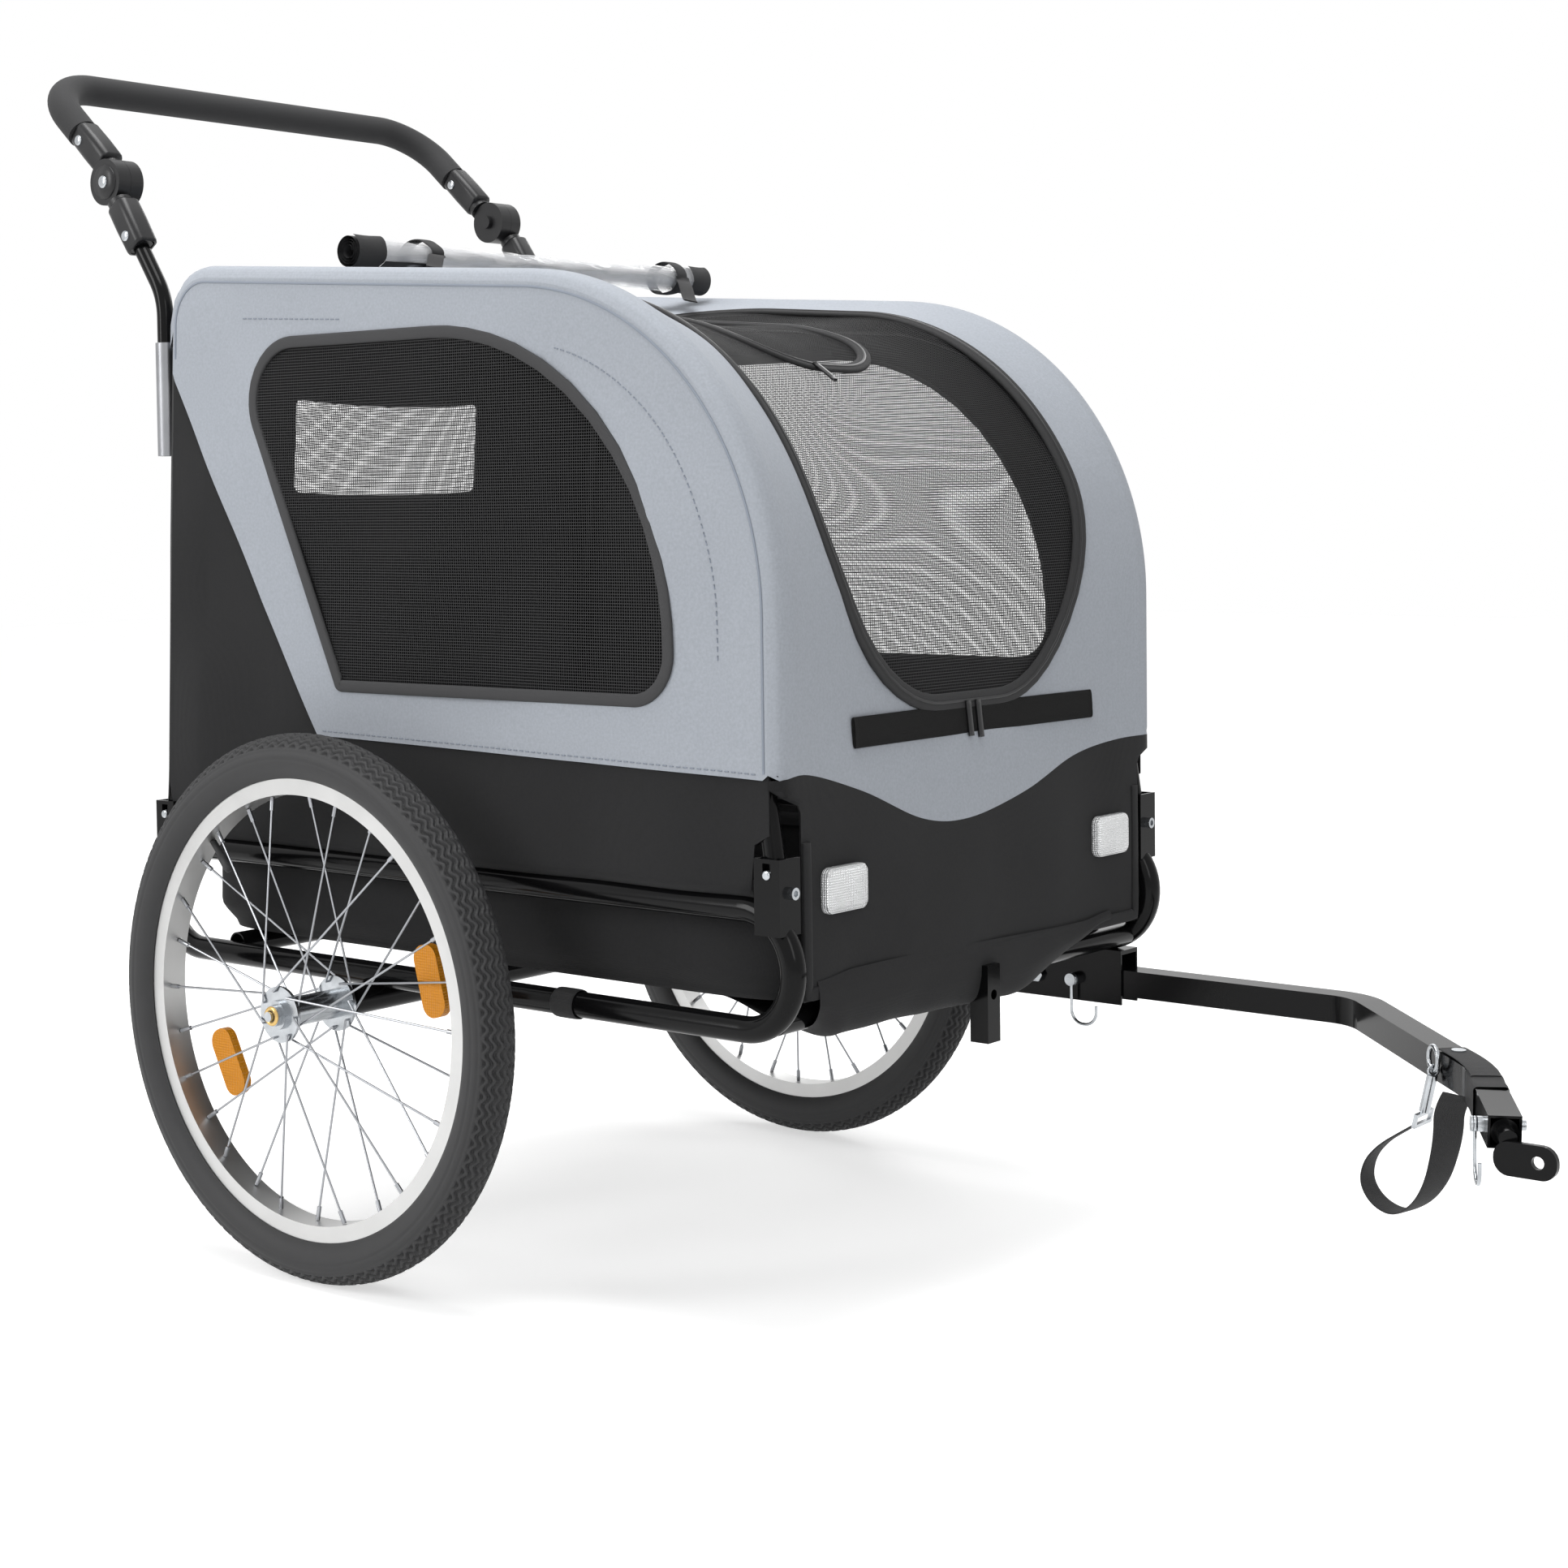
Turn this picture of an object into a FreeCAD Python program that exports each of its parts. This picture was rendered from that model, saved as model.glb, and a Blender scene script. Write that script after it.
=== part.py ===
"""Dog bike trailer: folding cabin on two side loops, spoked wheels, push handle and tow arm.

Millimetres. +X points forward along the tow arm, +Y to the left, +Z up, with the ground at zero height.
"""
import FreeCAD
import Part
import math
import os
import re
from types import SimpleNamespace

from FreeCAD import Placement, Rotation, Vector

SIZES = {
    # Wheels
    "wheel_side_gap": 42.75,
    "tyre_diameter": 494.0,
    "tyre_width": 44.5,
    "tyre_wall": 3.5,
    "tyre_bead_width": 33.0,
    "rim_diameter": 421.0,
    "rim_width": 25.0,
    "rim_depth": 18.0,
    "rim_well_depth": 7.5,
    "rim_side_wall": 3.0,
    "hub_flange_diameter": 50.0,
    "hub_flange_thickness": 3.0,
    "hub_barrel_diameter": 26.0,
    "hub_length": 82.0,
    "hub_outer_flange": 35.0,
    "hub_inner_flange": 30.0,
    "spokes_per_flange": 14,
    "spoke_circle_diameter": 42.0,
    "spoke_diameter": 2.0,
    "spoke_rim_offset": 3.0,
    "nipple_diameter": 4.0,
    "nipple_length": 12.0,
    "nipple_gap": 0.6,
    "spoke_elbow": 1.4,
    "wheel_reflector_length": 64.0,
    "wheel_reflector_width": 28.0,
    "wheel_reflector_thickness": 8.0,
    "wheel_reflector_circle": 290.0,
    "wheel_reflector_inset": 12.25,
    "wheel_reflector_step": 2.3,
    "wheel_reflector_angle": 14.8,
    "wheel_reflector_turn": 192.4,
    "valve_diameter": 9.0,
    "valve_length": 34.0,
    "valve_angle": 133.0,
    "axle_diameter": 12.7,
    "axle_depth": 70.0,
    "axle_head_diameter": 19.0,
    "axle_head_thickness": 4.0,
    "axle_button_diameter": 9.0,
    "axle_button_length": 16.0,
    "axle_button_stand": 4.5,
    "axle_button_travel": 3.0,
    "running_clearance": 0.05,
    "sliding_clearance": 0.25,
    # Side loops and cross tubes
    "frame_half_width": 274.0,
    "rail_diameter": 22.0,
    "rail_wall": 1.5,
    "rail_above_axle": 20.0,
    "loop_height": 99.0,
    "vent_diameter": 4.0,
    "cross_tube_diameter": 22.0,
    "cross_tube_wall": 1.5,
    "cross_tube_rise": 7.5,
    "front_cross_tube_back": 9.3,
    "rear_cross_tube_back": 200.0,
    "weld_overlap": 5.0,
    "axle_tube_diameter": 28.0,
    "axle_tube_wall": 3.0,
    "axle_tube_end_gap": 4.0,
    "axle_seat_length": 80.0,
    "socket_width": 19.0,
    "socket_wall": 1.5,
    "socket_length": 69.0,
    "socket_hole_diameter": 9.0,
    "socket_hole_drop": 15.5,
    # Folding hoops and their brackets
    "front_post_forward": 478.0,
    "rear_post_back": 280.0,
    "rear_post_stagger": 21.0,
    "rear_post_lean": 29.0,
    "pivot_rise": 16.0,
    "roof_rise": 535.0,
    "roof_fall": 51.0,
    "roof_rear_radius": 45.0,
    "roof_front_radius": 283.0,
    "hoop_diameter": 19.0,
    "hoop_wall": 1.5,
    "post_below_pivot": 7.5,
    "bracket_wall": 2.0,
    "bracket_side_clearance": 1.7,
    "bracket_web_gap": 12.5,
    "bracket_inward": 12.0,
    "bracket_below_pivot": 34.0,
    "bracket_above_lock": 13.0,
    "pivot_bolt_diameter": 6.0,
    "pivot_head_diameter": 10.0,
    "pivot_head_length": 5.0,
    "pivot_nut_width": 10.0,
    "lock_button_diameter": 8.0,
    "lock_rise": 15.0,
    "lock_button_stand": 2.0,
    "lock_button_depth": 6.0,
    "lock_slot_rise": 5.5,
    # Tub, floor and cover
    "cloth": 2.0,
    "cloth_gap": 0.3,
    "tub_side_gap": 3.0,
    "tub_above_rail": 5.0,
    "tub_rear_back": 268.0,
    "apron_above_pivot": 20.0,
    "apron_inset": 10.0,
    "floor_thickness": 6.0,
    "floor_margin": 3.0,
    "slit_above_lock": 33.0,
    "corner_slit_width": 34.0,
    "canopy_rear_back": 185.0,
    "roof_rear_sag": 30.0,
    "roof_front_sag": 40.0,
    "front_sag": 52.0,
    "rear_sag": 10.0,
    "door_half_width": 203.0,
    "door_bottom": 29.0,
    "door_top": 620.0,
    "door_bottom_radius": 160.0,
    "door_top_radius": 60.0,
    "door_setback": 400.0,
    "window_rear_bottom_back": 25.0,
    "window_above_pivot": 149.0,
    "window_front": 375.0,
    "window_below_roof": 19.0,
    "window_rear_top_back": 168.0,
    "window_front_bottom_radius": 40.0,
    "window_front_top_radius": 272.0,
    "window_rear_top_radius": 55.0,
    "window_rear_bottom_radius": 4.0,
    "rear_window_width": 264.0,
    "rear_window_height": 109.0,
    "rear_window_below_roof": 87.0,
    "rain_roll_diameter": 34.0,
    "rain_roll_inset": 24.0,
    "rain_roll_back": 44.0,
    "front_reflector_width": 56.0,
    "front_reflector_height": 38.0,
    "front_reflector_thickness": 7.0,
    "front_reflector_inset": 69.0,
    "front_reflector_drop": 23.0,
    # Push handle
    "handle_hinge_back": 363.0,
    "handle_hinge_rise": 162.0,
    "handle_rear_back": 490.0,
    "handle_grip_rise": 112.0,
    "handle_corner_radius": 58.0,
    "handle_tube_diameter": 19.0,
    "handle_tube_wall": 1.5,
    "handle_base_inset": 1.5,
    "hinge_tube_step": 0.3,
    "foam_diameter": 31.0,
    "foam_start": 84.0,
    "hinge_disc_diameter": 46.0,
    "hinge_disc_thickness": 14.7,
    "hinge_neck_diameter": 24.0,
    "hinge_neck_start": 24.0,
    "hinge_neck_end": 82.0,
    "hinge_web_diameter": 13.0,
    "leg_tube_start": 30.0,
    "base_tube_diameter": 16.0,
    "base_tube_wall": 1.5,
    "base_bend_rise": 44.0,
    "base_bend_radius": 60.0,
    "sleeve_diameter": 20.0,
    "sleeve_below_roof": 61.0,
    "sleeve_length": 110.0,
    "base_tube_insertion": 104.0,
    "handle_button_diameter": 14.0,
    "handle_button_stand": 5.0,
    "handle_button_seat": 4.0,
    "handle_button_travel": 4.0,
    # Tow arm
    "arm_width": 25.4,
    "arm_wall": 2.0,
    "arm_bend_radius": 62.0,
    "arm_below_rail": 41.0,
    "arm_pivot_forward": 375.0,
    "arm_tail": 15.0,
    "arm_pin_forward": 418.0,
    "arm_slot_sweep": 4.0,
    "arm_first_bend_forward": 715.0,
    "arm_second_bend_forward": 917.0,
    "arm_second_bend_left": 79.0,
    "arm_second_bend_drop": 6.0,
    "arm_end_forward": 985.0,
    "arm_end_right": 32.0,
    "arm_end_drop": 14.0,
    "tow_bracket_rear": 345.0,
    "tow_bracket_length": 125.0,
    "tow_bracket_below_arm": 21.0,
    "tow_bracket_roof": 4.0,
    "tow_bracket_wall": 2.0,
    "tow_bracket_clearance": 0.5,
    "tow_bracket_rail_bite": 1.5,
    "tow_bolt_diameter": 8.0,
    "tow_bolt_head_diameter": 13.0,
    "tow_bolt_head_length": 5.0,
    "tow_pin_diameter": 8.0,
    "tow_pin_head_diameter": 12.0,
    "tow_pin_head_length": 5.0,
    "tow_pin_tip": 6.0,
    "bail_wire": 3.0,
    "bail_width": 28.0,
    "bail_drop": 38.0,
    "bail_eye_diameter": 9.0,
    "coupler_plug_diameter": 21.0,
    "coupler_plug_length": 55.0,
    "coupler_rod_diameter": 14.0,
    "coupler_rod_length": 18.0,
    "coupler_plate_length": 50.0,
    "coupler_plate_height": 26.0,
    "coupler_plate_thickness": 5.0,
    "coupler_plate_drop": 14.0,
    "coupler_plate_set_back": 11.0,
    "coupler_eye_diameter": 10.0,
    "coupler_eye_inset": 15.0,
    "coupler_pin_inset": 20.0,
    "strap_thickness": 1.8,
    "strap_width": 25.0,
    "strap_wrap_start": 14.0,
    "strap_wrap_length": 44.0,
    "strap_bolt_diameter": 6.0,
    "strap_bolt_head_diameter": 12.0,
    "strap_bolt_head_length": 4.0,
    "strap_bolt_inset": 48.0,
    "ring_diameter": 20.0,
    "ring_wire": 4.0,
    "ring_inset": 56.0,
    "ring_rise": 8.0,
    "ring_stand_off": 3.7,
    "hook_ring_diameter": 8.0,
    "hook_wire": 3.0,
    "hook_body_diameter": 9.0,
    "hook_body_length": 32.0,
    "hook_lean": 13.0,
    "hook_frame_width": 32.0,
    "hook_frame_height": 12.0,
    "cut_overrun": 2.0,
}

doc = FreeCAD.newDocument("dog_bike_trailer")
sheet = doc.addObject("Spreadsheet::Sheet", "Dims")
for row, (alias, number) in enumerate(SIZES.items(), start=1):
    sheet.set(f"A{row}", alias)
    sheet.set(f"B{row}", str(number))
    sheet.setAlias(f"B{row}", alias)
doc.recompute()
d = SimpleNamespace(**{alias: float(sheet.get(alias)) for alias in SIZES})

RIGHT, LEFT = -1, 1
SIDES = {"right": RIGHT, "left": LEFT}
X_AXIS, Y_AXIS, Z_AXIS = Vector(1, 0, 0), Vector(0, 1, 0), Vector(0, 0, 1)
nodes = []

# The part stands on the ground with its origin under the middle of its length
last_run = Vector(d.arm_end_forward - d.arm_second_bend_forward, -d.arm_end_right - d.arm_second_bend_left,
                  d.arm_second_bend_drop - d.arm_end_drop)
rod_forward = d.arm_end_forward + d.coupler_rod_length * last_run.x / last_run.Length
plate_forward = rod_forward - d.coupler_plate_set_back + d.coupler_plate_length
rear_reach = d.handle_rear_back + d.foam_diameter / 2
AXLE_X = (rear_reach - plate_forward) / 2

# Heights above the ground, each counted from the piece below it
wheel_radius = d.tyre_diameter / 2
lower_rail_height = wheel_radius + d.rail_above_axle
upper_rail_height = lower_rail_height + d.loop_height
cross_tube_height = lower_rail_height + d.cross_tube_rise
pivot_height = upper_rail_height + d.pivot_rise
lock_height = pivot_height + d.lock_rise
roof_rear_height = pivot_height + d.roof_rise
roof_front_height = roof_rear_height - d.roof_fall
sleeve_top = roof_rear_height - d.sleeve_below_roof
hinge_height = sleeve_top + d.handle_hinge_rise
grip_height = hinge_height + d.handle_grip_rise
arm_height = lower_rail_height - d.arm_below_rail
arm_second_bend_height = arm_height - d.arm_second_bend_drop
arm_end_height = arm_height - d.arm_end_drop

# Widths, each counted from the side loops
wheel_track = 2 * d.frame_half_width + d.rail_diameter + 2 * d.wheel_side_gap + d.tyre_width
axle_tube_length = wheel_track - d.hub_length - 2 * d.axle_tube_end_gap
tub_half_width = d.frame_half_width - d.rail_diameter / 2 - d.tub_side_gap
apron_half_width = tub_half_width - d.apron_inset
base_half_width = d.frame_half_width - d.handle_base_inset
leg_half_width = base_half_width - d.hinge_disc_thickness - d.hinge_tube_step


def at(x, y, z):
    """A point, with x counted forward from the wheels' axle."""
    return Vector(AXLE_X + x, y, z)


def sized(text):
    """A sheet expression from alias words."""
    return re.sub(r"[a-z][a-z_]*", lambda word: "Dims." + word.group(0), text)


def make_node(obj, label):
    obj.Label = label
    nodes.append(obj)
    return obj


def solid_feature(name, shape):
    obj = doc.addObject("Part::Feature", name)
    obj.Shape = shape
    return obj


def cylinder(name, base, direction, radius, height):
    obj = doc.addObject("Part::Cylinder", name)
    obj.setExpression("Radius", sized(radius))
    obj.setExpression("Height", sized(height))
    obj.Placement = Placement(base, Rotation(Z_AXIS, direction))
    return obj


def box(name, corner, length, width, height, turn=Rotation()):
    obj = doc.addObject("Part::Box", name)
    obj.setExpression("Length", sized(length))
    obj.setExpression("Width", sized(width))
    obj.setExpression("Height", sized(height))
    obj.Placement = Placement(corner, turn)
    return obj


def torus(name, centre, axis, circle, wire):
    obj = doc.addObject("Part::Torus", name)
    obj.setExpression("Radius1", sized(circle))
    obj.setExpression("Radius2", sized(wire))
    obj.Placement = Placement(centre, Rotation(Z_AXIS, axis))
    return obj


def cut(name, base, *tools):
    for count, tool in enumerate(tools):
        result = doc.addObject("Part::Cut", f"{name}_{count}")
        result.Base = base
        result.Tool = tool
        base = result
    return base


def fuse(name, *shapes):
    obj = doc.addObject("Part::MultiFuse", name)
    obj.Shapes = list(shapes)
    obj.Refine = True
    return obj


def common(name, base, tool):
    obj = doc.addObject("Part::Common", name)
    obj.Base = base
    obj.Tool = tool
    return obj


def group(name, *members):
    obj = doc.addObject("Part::Compound", name)
    obj.Links = list(members)
    return obj


def prism(name, wire, direction, length):
    """A closed outline pushed along a direction."""
    outline = solid_feature(name + "_outline", wire)
    obj = doc.addObject("Part::Extrusion", name)
    obj.Base = outline
    obj.DirMode = "Custom"
    obj.Dir = direction
    obj.setExpression("LengthFwd", sized(length))
    obj.Solid = True
    return obj


def rounded_edges(points, radii):
    """Straight runs through points, with a tangent arc of its own radius at each inner point."""
    edges = []
    start = points[0]
    for before, corner, after, radius in zip(points, points[1:], points[2:], radii):
        incoming = (corner - before).normalize()
        outgoing = (after - corner).normalize()
        half_turn = incoming.getAngle(outgoing) / 2
        tangent = radius * math.tan(half_turn)
        inward = (outgoing - incoming).normalize()
        centre = corner + inward * (radius / math.cos(half_turn))
        arc_start = corner - incoming * tangent
        arc_end = corner + outgoing * tangent
        edges.append(Part.makeLine(start, arc_start))
        edges.append(Part.Arc(arc_start, centre - inward * radius, arc_end).toShape())
        start = arc_end
    edges.append(Part.makeLine(start, points[-1]))
    return edges


def rounded_loop(points, radii):
    """A closed outline with a rounded corner of its own radius at each point."""
    middle = (points[-1] + points[0]) * 0.5
    return Part.Wire(rounded_edges([middle, *points, middle], radii))


def sweep(name, spine, start, direction, radius):
    section = doc.addObject("Part::Circle", name + "_section")
    section.setExpression("Radius", sized(radius))
    section.Placement = Placement(start, Rotation(Z_AXIS, direction))
    obj = doc.addObject("Part::Sweep", name)
    obj.Sections = [section]
    obj.Spine = (spine, [f"Edge{count + 1}" for count in range(len(spine.Shape.Edges))])
    obj.Solid = True
    obj.Frenet = False
    return obj


def tube(name, edges, diameter, wall):
    """A round tube along a route. Gives the tube and its filled outside."""
    spine = solid_feature(name + "_route", Part.Wire(edges))
    start = edges[0].valueAt(edges[0].FirstParameter)
    direction = edges[0].tangentAt(edges[0].FirstParameter)
    outside = sweep(name + "_outside", spine, start, direction, f"{diameter} / 2")
    inside = sweep(name + "_inside", spine, start, direction, f"{diameter} / 2 - ({wall})")
    return cut(name, outside, inside), outside


def straight_tube(name, base, direction, diameter, wall, length):
    outside = cylinder(name + "_outside", base, direction, f"{diameter} / 2", length)
    inside = cylinder(name + "_inside", base, direction, f"{diameter} / 2 - ({wall})", length)
    return cut(name, outside, inside)


# Side loops

loop_centre_height = (lower_rail_height + upper_rail_height) / 2
loop_radius = d.loop_height / 2
post_on_bend_share = 0.7071
post_inset = loop_radius * post_on_bend_share
loop_front = d.front_post_forward - post_inset
stagger = {RIGHT: 0, LEFT: d.rear_post_stagger}
rear_post = {side: -d.rear_post_back + stagger[side] for side in (RIGHT, LEFT)}
loop_outside = {}


def side_loop(label, side):
    y = side * d.frame_half_width
    rear = rear_post[side] + post_inset
    lower_rear = at(rear, y, lower_rail_height)
    lower_front = at(loop_front, y, lower_rail_height)
    upper_rear = at(rear, y, upper_rail_height)
    upper_front = at(loop_front, y, upper_rail_height)
    nose = at(loop_front + loop_radius, y, loop_centre_height)
    tail = at(rear - loop_radius, y, loop_centre_height)
    edges = [
        Part.makeLine(lower_rear, lower_front),
        Part.Arc(lower_front, nose, upper_front).toShape(),
        Part.makeLine(upper_front, upper_rear),
        Part.Arc(upper_rear, tail, lower_rear).toShape(),
    ]
    hollow, outside = tube(label, edges, "rail_diameter", "rail_wall")
    vent_start = (upper_rear + upper_front) * 0.5
    vent = cylinder(label + "_vent", vent_start, -Z_AXIS, "vent_diameter / 2", "rail_diameter")
    loop_outside[side] = outside
    make_node(cut(label + "_vented", hollow, vent), label)


for side_name, side in SIDES.items():
    side_loop(side_name + "_loop_frame", side)


# Cross tubes, axle tube and the front wheel socket

def coped(name, piece):
    """A piece cut to the round of both side loops that it is welded to."""
    return cut(name, piece, loop_outside[RIGHT], loop_outside[LEFT])


def cross_tube(label, x):
    reach = d.frame_half_width - d.rail_diameter / 2 + d.weld_overlap
    length = "2 * (frame_half_width - rail_diameter / 2 + weld_overlap)"
    base = at(x, -reach, cross_tube_height)
    piece = straight_tube(label, base, Y_AXIS, "cross_tube_diameter", "cross_tube_wall", length)
    make_node(coped(label + "_coped", piece), label)


front_cross_tube_x = d.front_post_forward - d.front_cross_tube_back
cross_tube("front_cross_tube", front_cross_tube_x)
cross_tube("rear_cross_tube", -d.rear_cross_tube_back)

axle_tube_base = at(0, -axle_tube_length / 2, wheel_radius)
axle_tube_middle = at(0, -axle_tube_length / 2 + d.axle_seat_length, wheel_radius)
track_text = "2 * frame_half_width + rail_diameter + 2 * wheel_side_gap + tyre_width"
axle_tube_text = track_text + " - hub_length - 2 * axle_tube_end_gap"
axle_tube = cut(
    "axle_tube_bored",
    cylinder("axle_tube_outside", axle_tube_base, Y_AXIS, "axle_tube_diameter / 2", axle_tube_text),
    cylinder("axle_tube_bore", axle_tube_base, Y_AXIS, "axle_diameter / 2 + running_clearance",
             axle_tube_text),
    cylinder("axle_tube_cavity", axle_tube_middle, Y_AXIS, "axle_tube_diameter / 2 - axle_tube_wall",
             axle_tube_text + " - 2 * axle_seat_length"),
)
make_node(coped("axle_tube_coped", axle_tube), "axle_tube")

socket_x = front_cross_tube_x + d.cross_tube_diameter / 2 + d.socket_width / 2
socket_top = cross_tube_height + d.cross_tube_diameter / 2
socket_bottom = socket_top - d.socket_length
socket_inside = d.socket_width / 2 - d.socket_wall
front_socket = cut(
    "front_socket_tube",
    box("front_socket_outside", at(socket_x - d.socket_width / 2, -d.socket_width / 2, socket_bottom),
        "socket_width", "socket_width", "socket_length"),
    box("front_socket_inside", at(socket_x - socket_inside, -socket_inside, socket_bottom),
        "socket_width - 2 * socket_wall", "socket_width - 2 * socket_wall", "socket_length - socket_wall"),
    cylinder("front_socket_hole", at(socket_x, 0, cross_tube_height - d.socket_hole_drop), X_AXIS,
             "socket_hole_diameter / 2", "socket_width"),
)
make_node(front_socket, "front_socket")


# Hoops

roof_slope = -d.roof_fall / (d.front_post_forward + d.rear_post_back - d.rear_post_lean)
lean_slope = d.rear_post_lean / d.roof_rise


def hoop_lines(offset, rear_x, bottom, sag_share=0):
    """Corner points of the arch in side view: rear foot, roof ends, front foot.

    They lie outward of the hoop's middle by an offset, and the cloth's sag draws the roof ends inward.
    """
    roof_lift = offset * math.hypot(1, roof_slope)
    rear_push = offset * math.hypot(1, lean_slope)
    front_x = d.front_post_forward + offset
    roof_base = roof_front_height + roof_lift

    def roof_at(x):
        return roof_base + roof_slope * (x - d.front_post_forward)

    def rear_at(z):
        return rear_x - rear_push + lean_slope * (z - pivot_height)

    rear_top = roof_at(rear_at(roof_rear_height))
    return [
        (rear_at(bottom), bottom),
        (rear_at(rear_top) + d.rear_sag * sag_share, rear_top - d.roof_rear_sag * sag_share),
        (front_x - d.front_sag * sag_share, roof_at(front_x) - d.roof_front_sag * sag_share),
        (front_x, bottom),
    ]


def hoop_points(offset, rear_x, bottom, y, sag_share=0):
    return [at(x, y, z) for x, z in hoop_lines(offset, rear_x, bottom, sag_share)]


def hoop_radii(offset):
    return [d.roof_rear_radius + offset, d.roof_front_radius + offset]


def hoop(label, side):
    y = side * d.frame_half_width
    foot = pivot_height - d.post_below_pivot
    points = hoop_points(0, rear_post[side], foot, y)
    piece, _ = tube(label, rounded_edges(points, hoop_radii(0)), "hoop_diameter", "hoop_wall")
    holes = []
    for end, x in (("front", d.front_post_forward), ("rear", rear_post[side])):
        bolt_start = at(x - d.hoop_diameter, y, pivot_height)
        holes.append(cylinder(f"{label}_{end}_bolt_hole", bolt_start, X_AXIS,
                              "pivot_bolt_diameter / 2 + running_clearance", "2 * hoop_diameter"))
        button_start = at(x, y, lock_height)
        holes.append(cylinder(f"{label}_{end}_button_hole", button_start, Y_AXIS * side,
                              "lock_button_diameter / 2 + sliding_clearance", "hoop_diameter"))
    make_node(cut(label + "_drilled", piece, *holes), label)


for side_name, side in SIDES.items():
    hoop(side_name + "_hoop", side)


# Hinge brackets, pivot bolts and lock buttons

bracket_inside = d.hoop_diameter / 2 + d.bracket_side_clearance
bracket_outside = bracket_inside + d.bracket_wall
bracket_bottom = pivot_height - d.bracket_below_pivot
bracket_height = "bracket_below_pivot + lock_rise + bracket_above_lock"


def bracket(name, side, x):
    """An upright channel, open inward, coped onto the bend of its loop."""
    web_outside = d.frame_half_width + d.bracket_web_gap + d.bracket_wall
    low_y = min(side * web_outside, side * (d.frame_half_width - d.bracket_inward))
    channel_y = low_y + (d.bracket_wall if side == RIGHT else -d.cut_overrun)
    y = side * d.frame_half_width
    outside = box(name + "_outside", at(x - bracket_outside, low_y, bracket_bottom),
                  "hoop_diameter + 2 * bracket_side_clearance + 2 * bracket_wall",
                  "bracket_web_gap + bracket_wall + bracket_inward", bracket_height)
    channel = box(name + "_channel", at(x - bracket_inside, channel_y, bracket_bottom - d.cut_overrun),
                  "hoop_diameter + 2 * bracket_side_clearance",
                  "bracket_web_gap + bracket_inward + cut_overrun",
                  bracket_height + " + 2 * cut_overrun")
    bolt_hole = cylinder(name + "_bolt_hole", at(x - bracket_outside, y, pivot_height), X_AXIS,
                         "pivot_bolt_diameter / 2 + running_clearance",
                         "hoop_diameter + 2 * bracket_side_clearance + 2 * bracket_wall")
    button_hole = cylinder(name + "_button_hole", at(x, y, lock_height), Y_AXIS * side,
                           "lock_button_diameter / 2 + sliding_clearance",
                           "bracket_web_gap + bracket_wall + cut_overrun")
    slot_low = min(side * d.frame_half_width, side * (web_outside + d.cut_overrun))
    slot_half = d.lock_button_diameter / 2 + d.sliding_clearance
    button_slot = box(name + "_button_slot", at(x - slot_half, slot_low, lock_height),
                      "lock_button_diameter + 2 * sliding_clearance",
                      "bracket_web_gap + bracket_wall + cut_overrun",
                      "lock_button_diameter / 2 + lock_slot_rise")
    return cut(name, outside, channel, bolt_hole, button_hole, button_slot, loop_outside[side])


def hexagon(centre, axis, flat_width, turn=0):
    """A closed six-sided outline across an axis."""
    corner_radius = flat_width / math.sqrt(3)
    spin = Rotation(Z_AXIS, axis)
    points = []
    for corner in range(7):
        angle = math.radians(60 * corner + turn)
        points.append(centre + spin.multVec(Vector(math.cos(angle), math.sin(angle), 0) * corner_radius))
    return Part.makePolygon(points)


def pivot_bolt(name, side, x, outward):
    """A socket-head bolt across a bracket, head on the outer flange and nut on the other."""
    y = side * d.frame_half_width
    head_face = at(x + outward * bracket_outside, y, pivot_height)
    nut_face = at(x - outward * bracket_outside, y, pivot_height)
    shank = cylinder(name + "_shank", nut_face, X_AXIS * outward, "pivot_bolt_diameter / 2",
                     "hoop_diameter + 2 * bracket_side_clearance + 2 * bracket_wall")
    head = cylinder(name + "_head", head_face, X_AXIS * outward, "pivot_head_diameter / 2",
                    "pivot_head_length")
    recess_base = head_face + X_AXIS * (outward * d.pivot_head_length / 2)
    recess = prism(name + "_recess", hexagon(recess_base, X_AXIS, d.pivot_head_diameter / 2),
                   X_AXIS * outward, "pivot_head_length")
    nut = prism(name + "_nut", hexagon(nut_face, X_AXIS, d.pivot_nut_width), X_AXIS * -outward,
                "pivot_head_length")
    return cut(name + "_recessed", fuse(name, shank, head, nut), recess)


def lock_button(name, side, x):
    """A domed spring button that stands out of the post through the bracket's web."""
    reach = d.frame_half_width + d.bracket_web_gap + d.bracket_wall + d.lock_button_stand
    length = ("bracket_web_gap + bracket_wall + lock_button_stand"
              " - hoop_diameter / 2 + hoop_wall + lock_button_depth")
    stem = cylinder(name, at(x, side * reach, lock_height), Y_AXIS * -side,
                    "lock_button_diameter / 2", length)
    dome = doc.addObject("Part::Fillet", name + "_domed")
    dome.Base = stem
    doc.recompute()
    dome_share = 0.9
    rounding = d.lock_button_stand * dome_share
    outer_edge = max(range(len(stem.Shape.Edges)), key=lambda i: side * stem.Shape.Edges[i].CenterOfMass.y)
    dome.Edges = [(outer_edge + 1, rounding, rounding)]
    return dome


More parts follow.
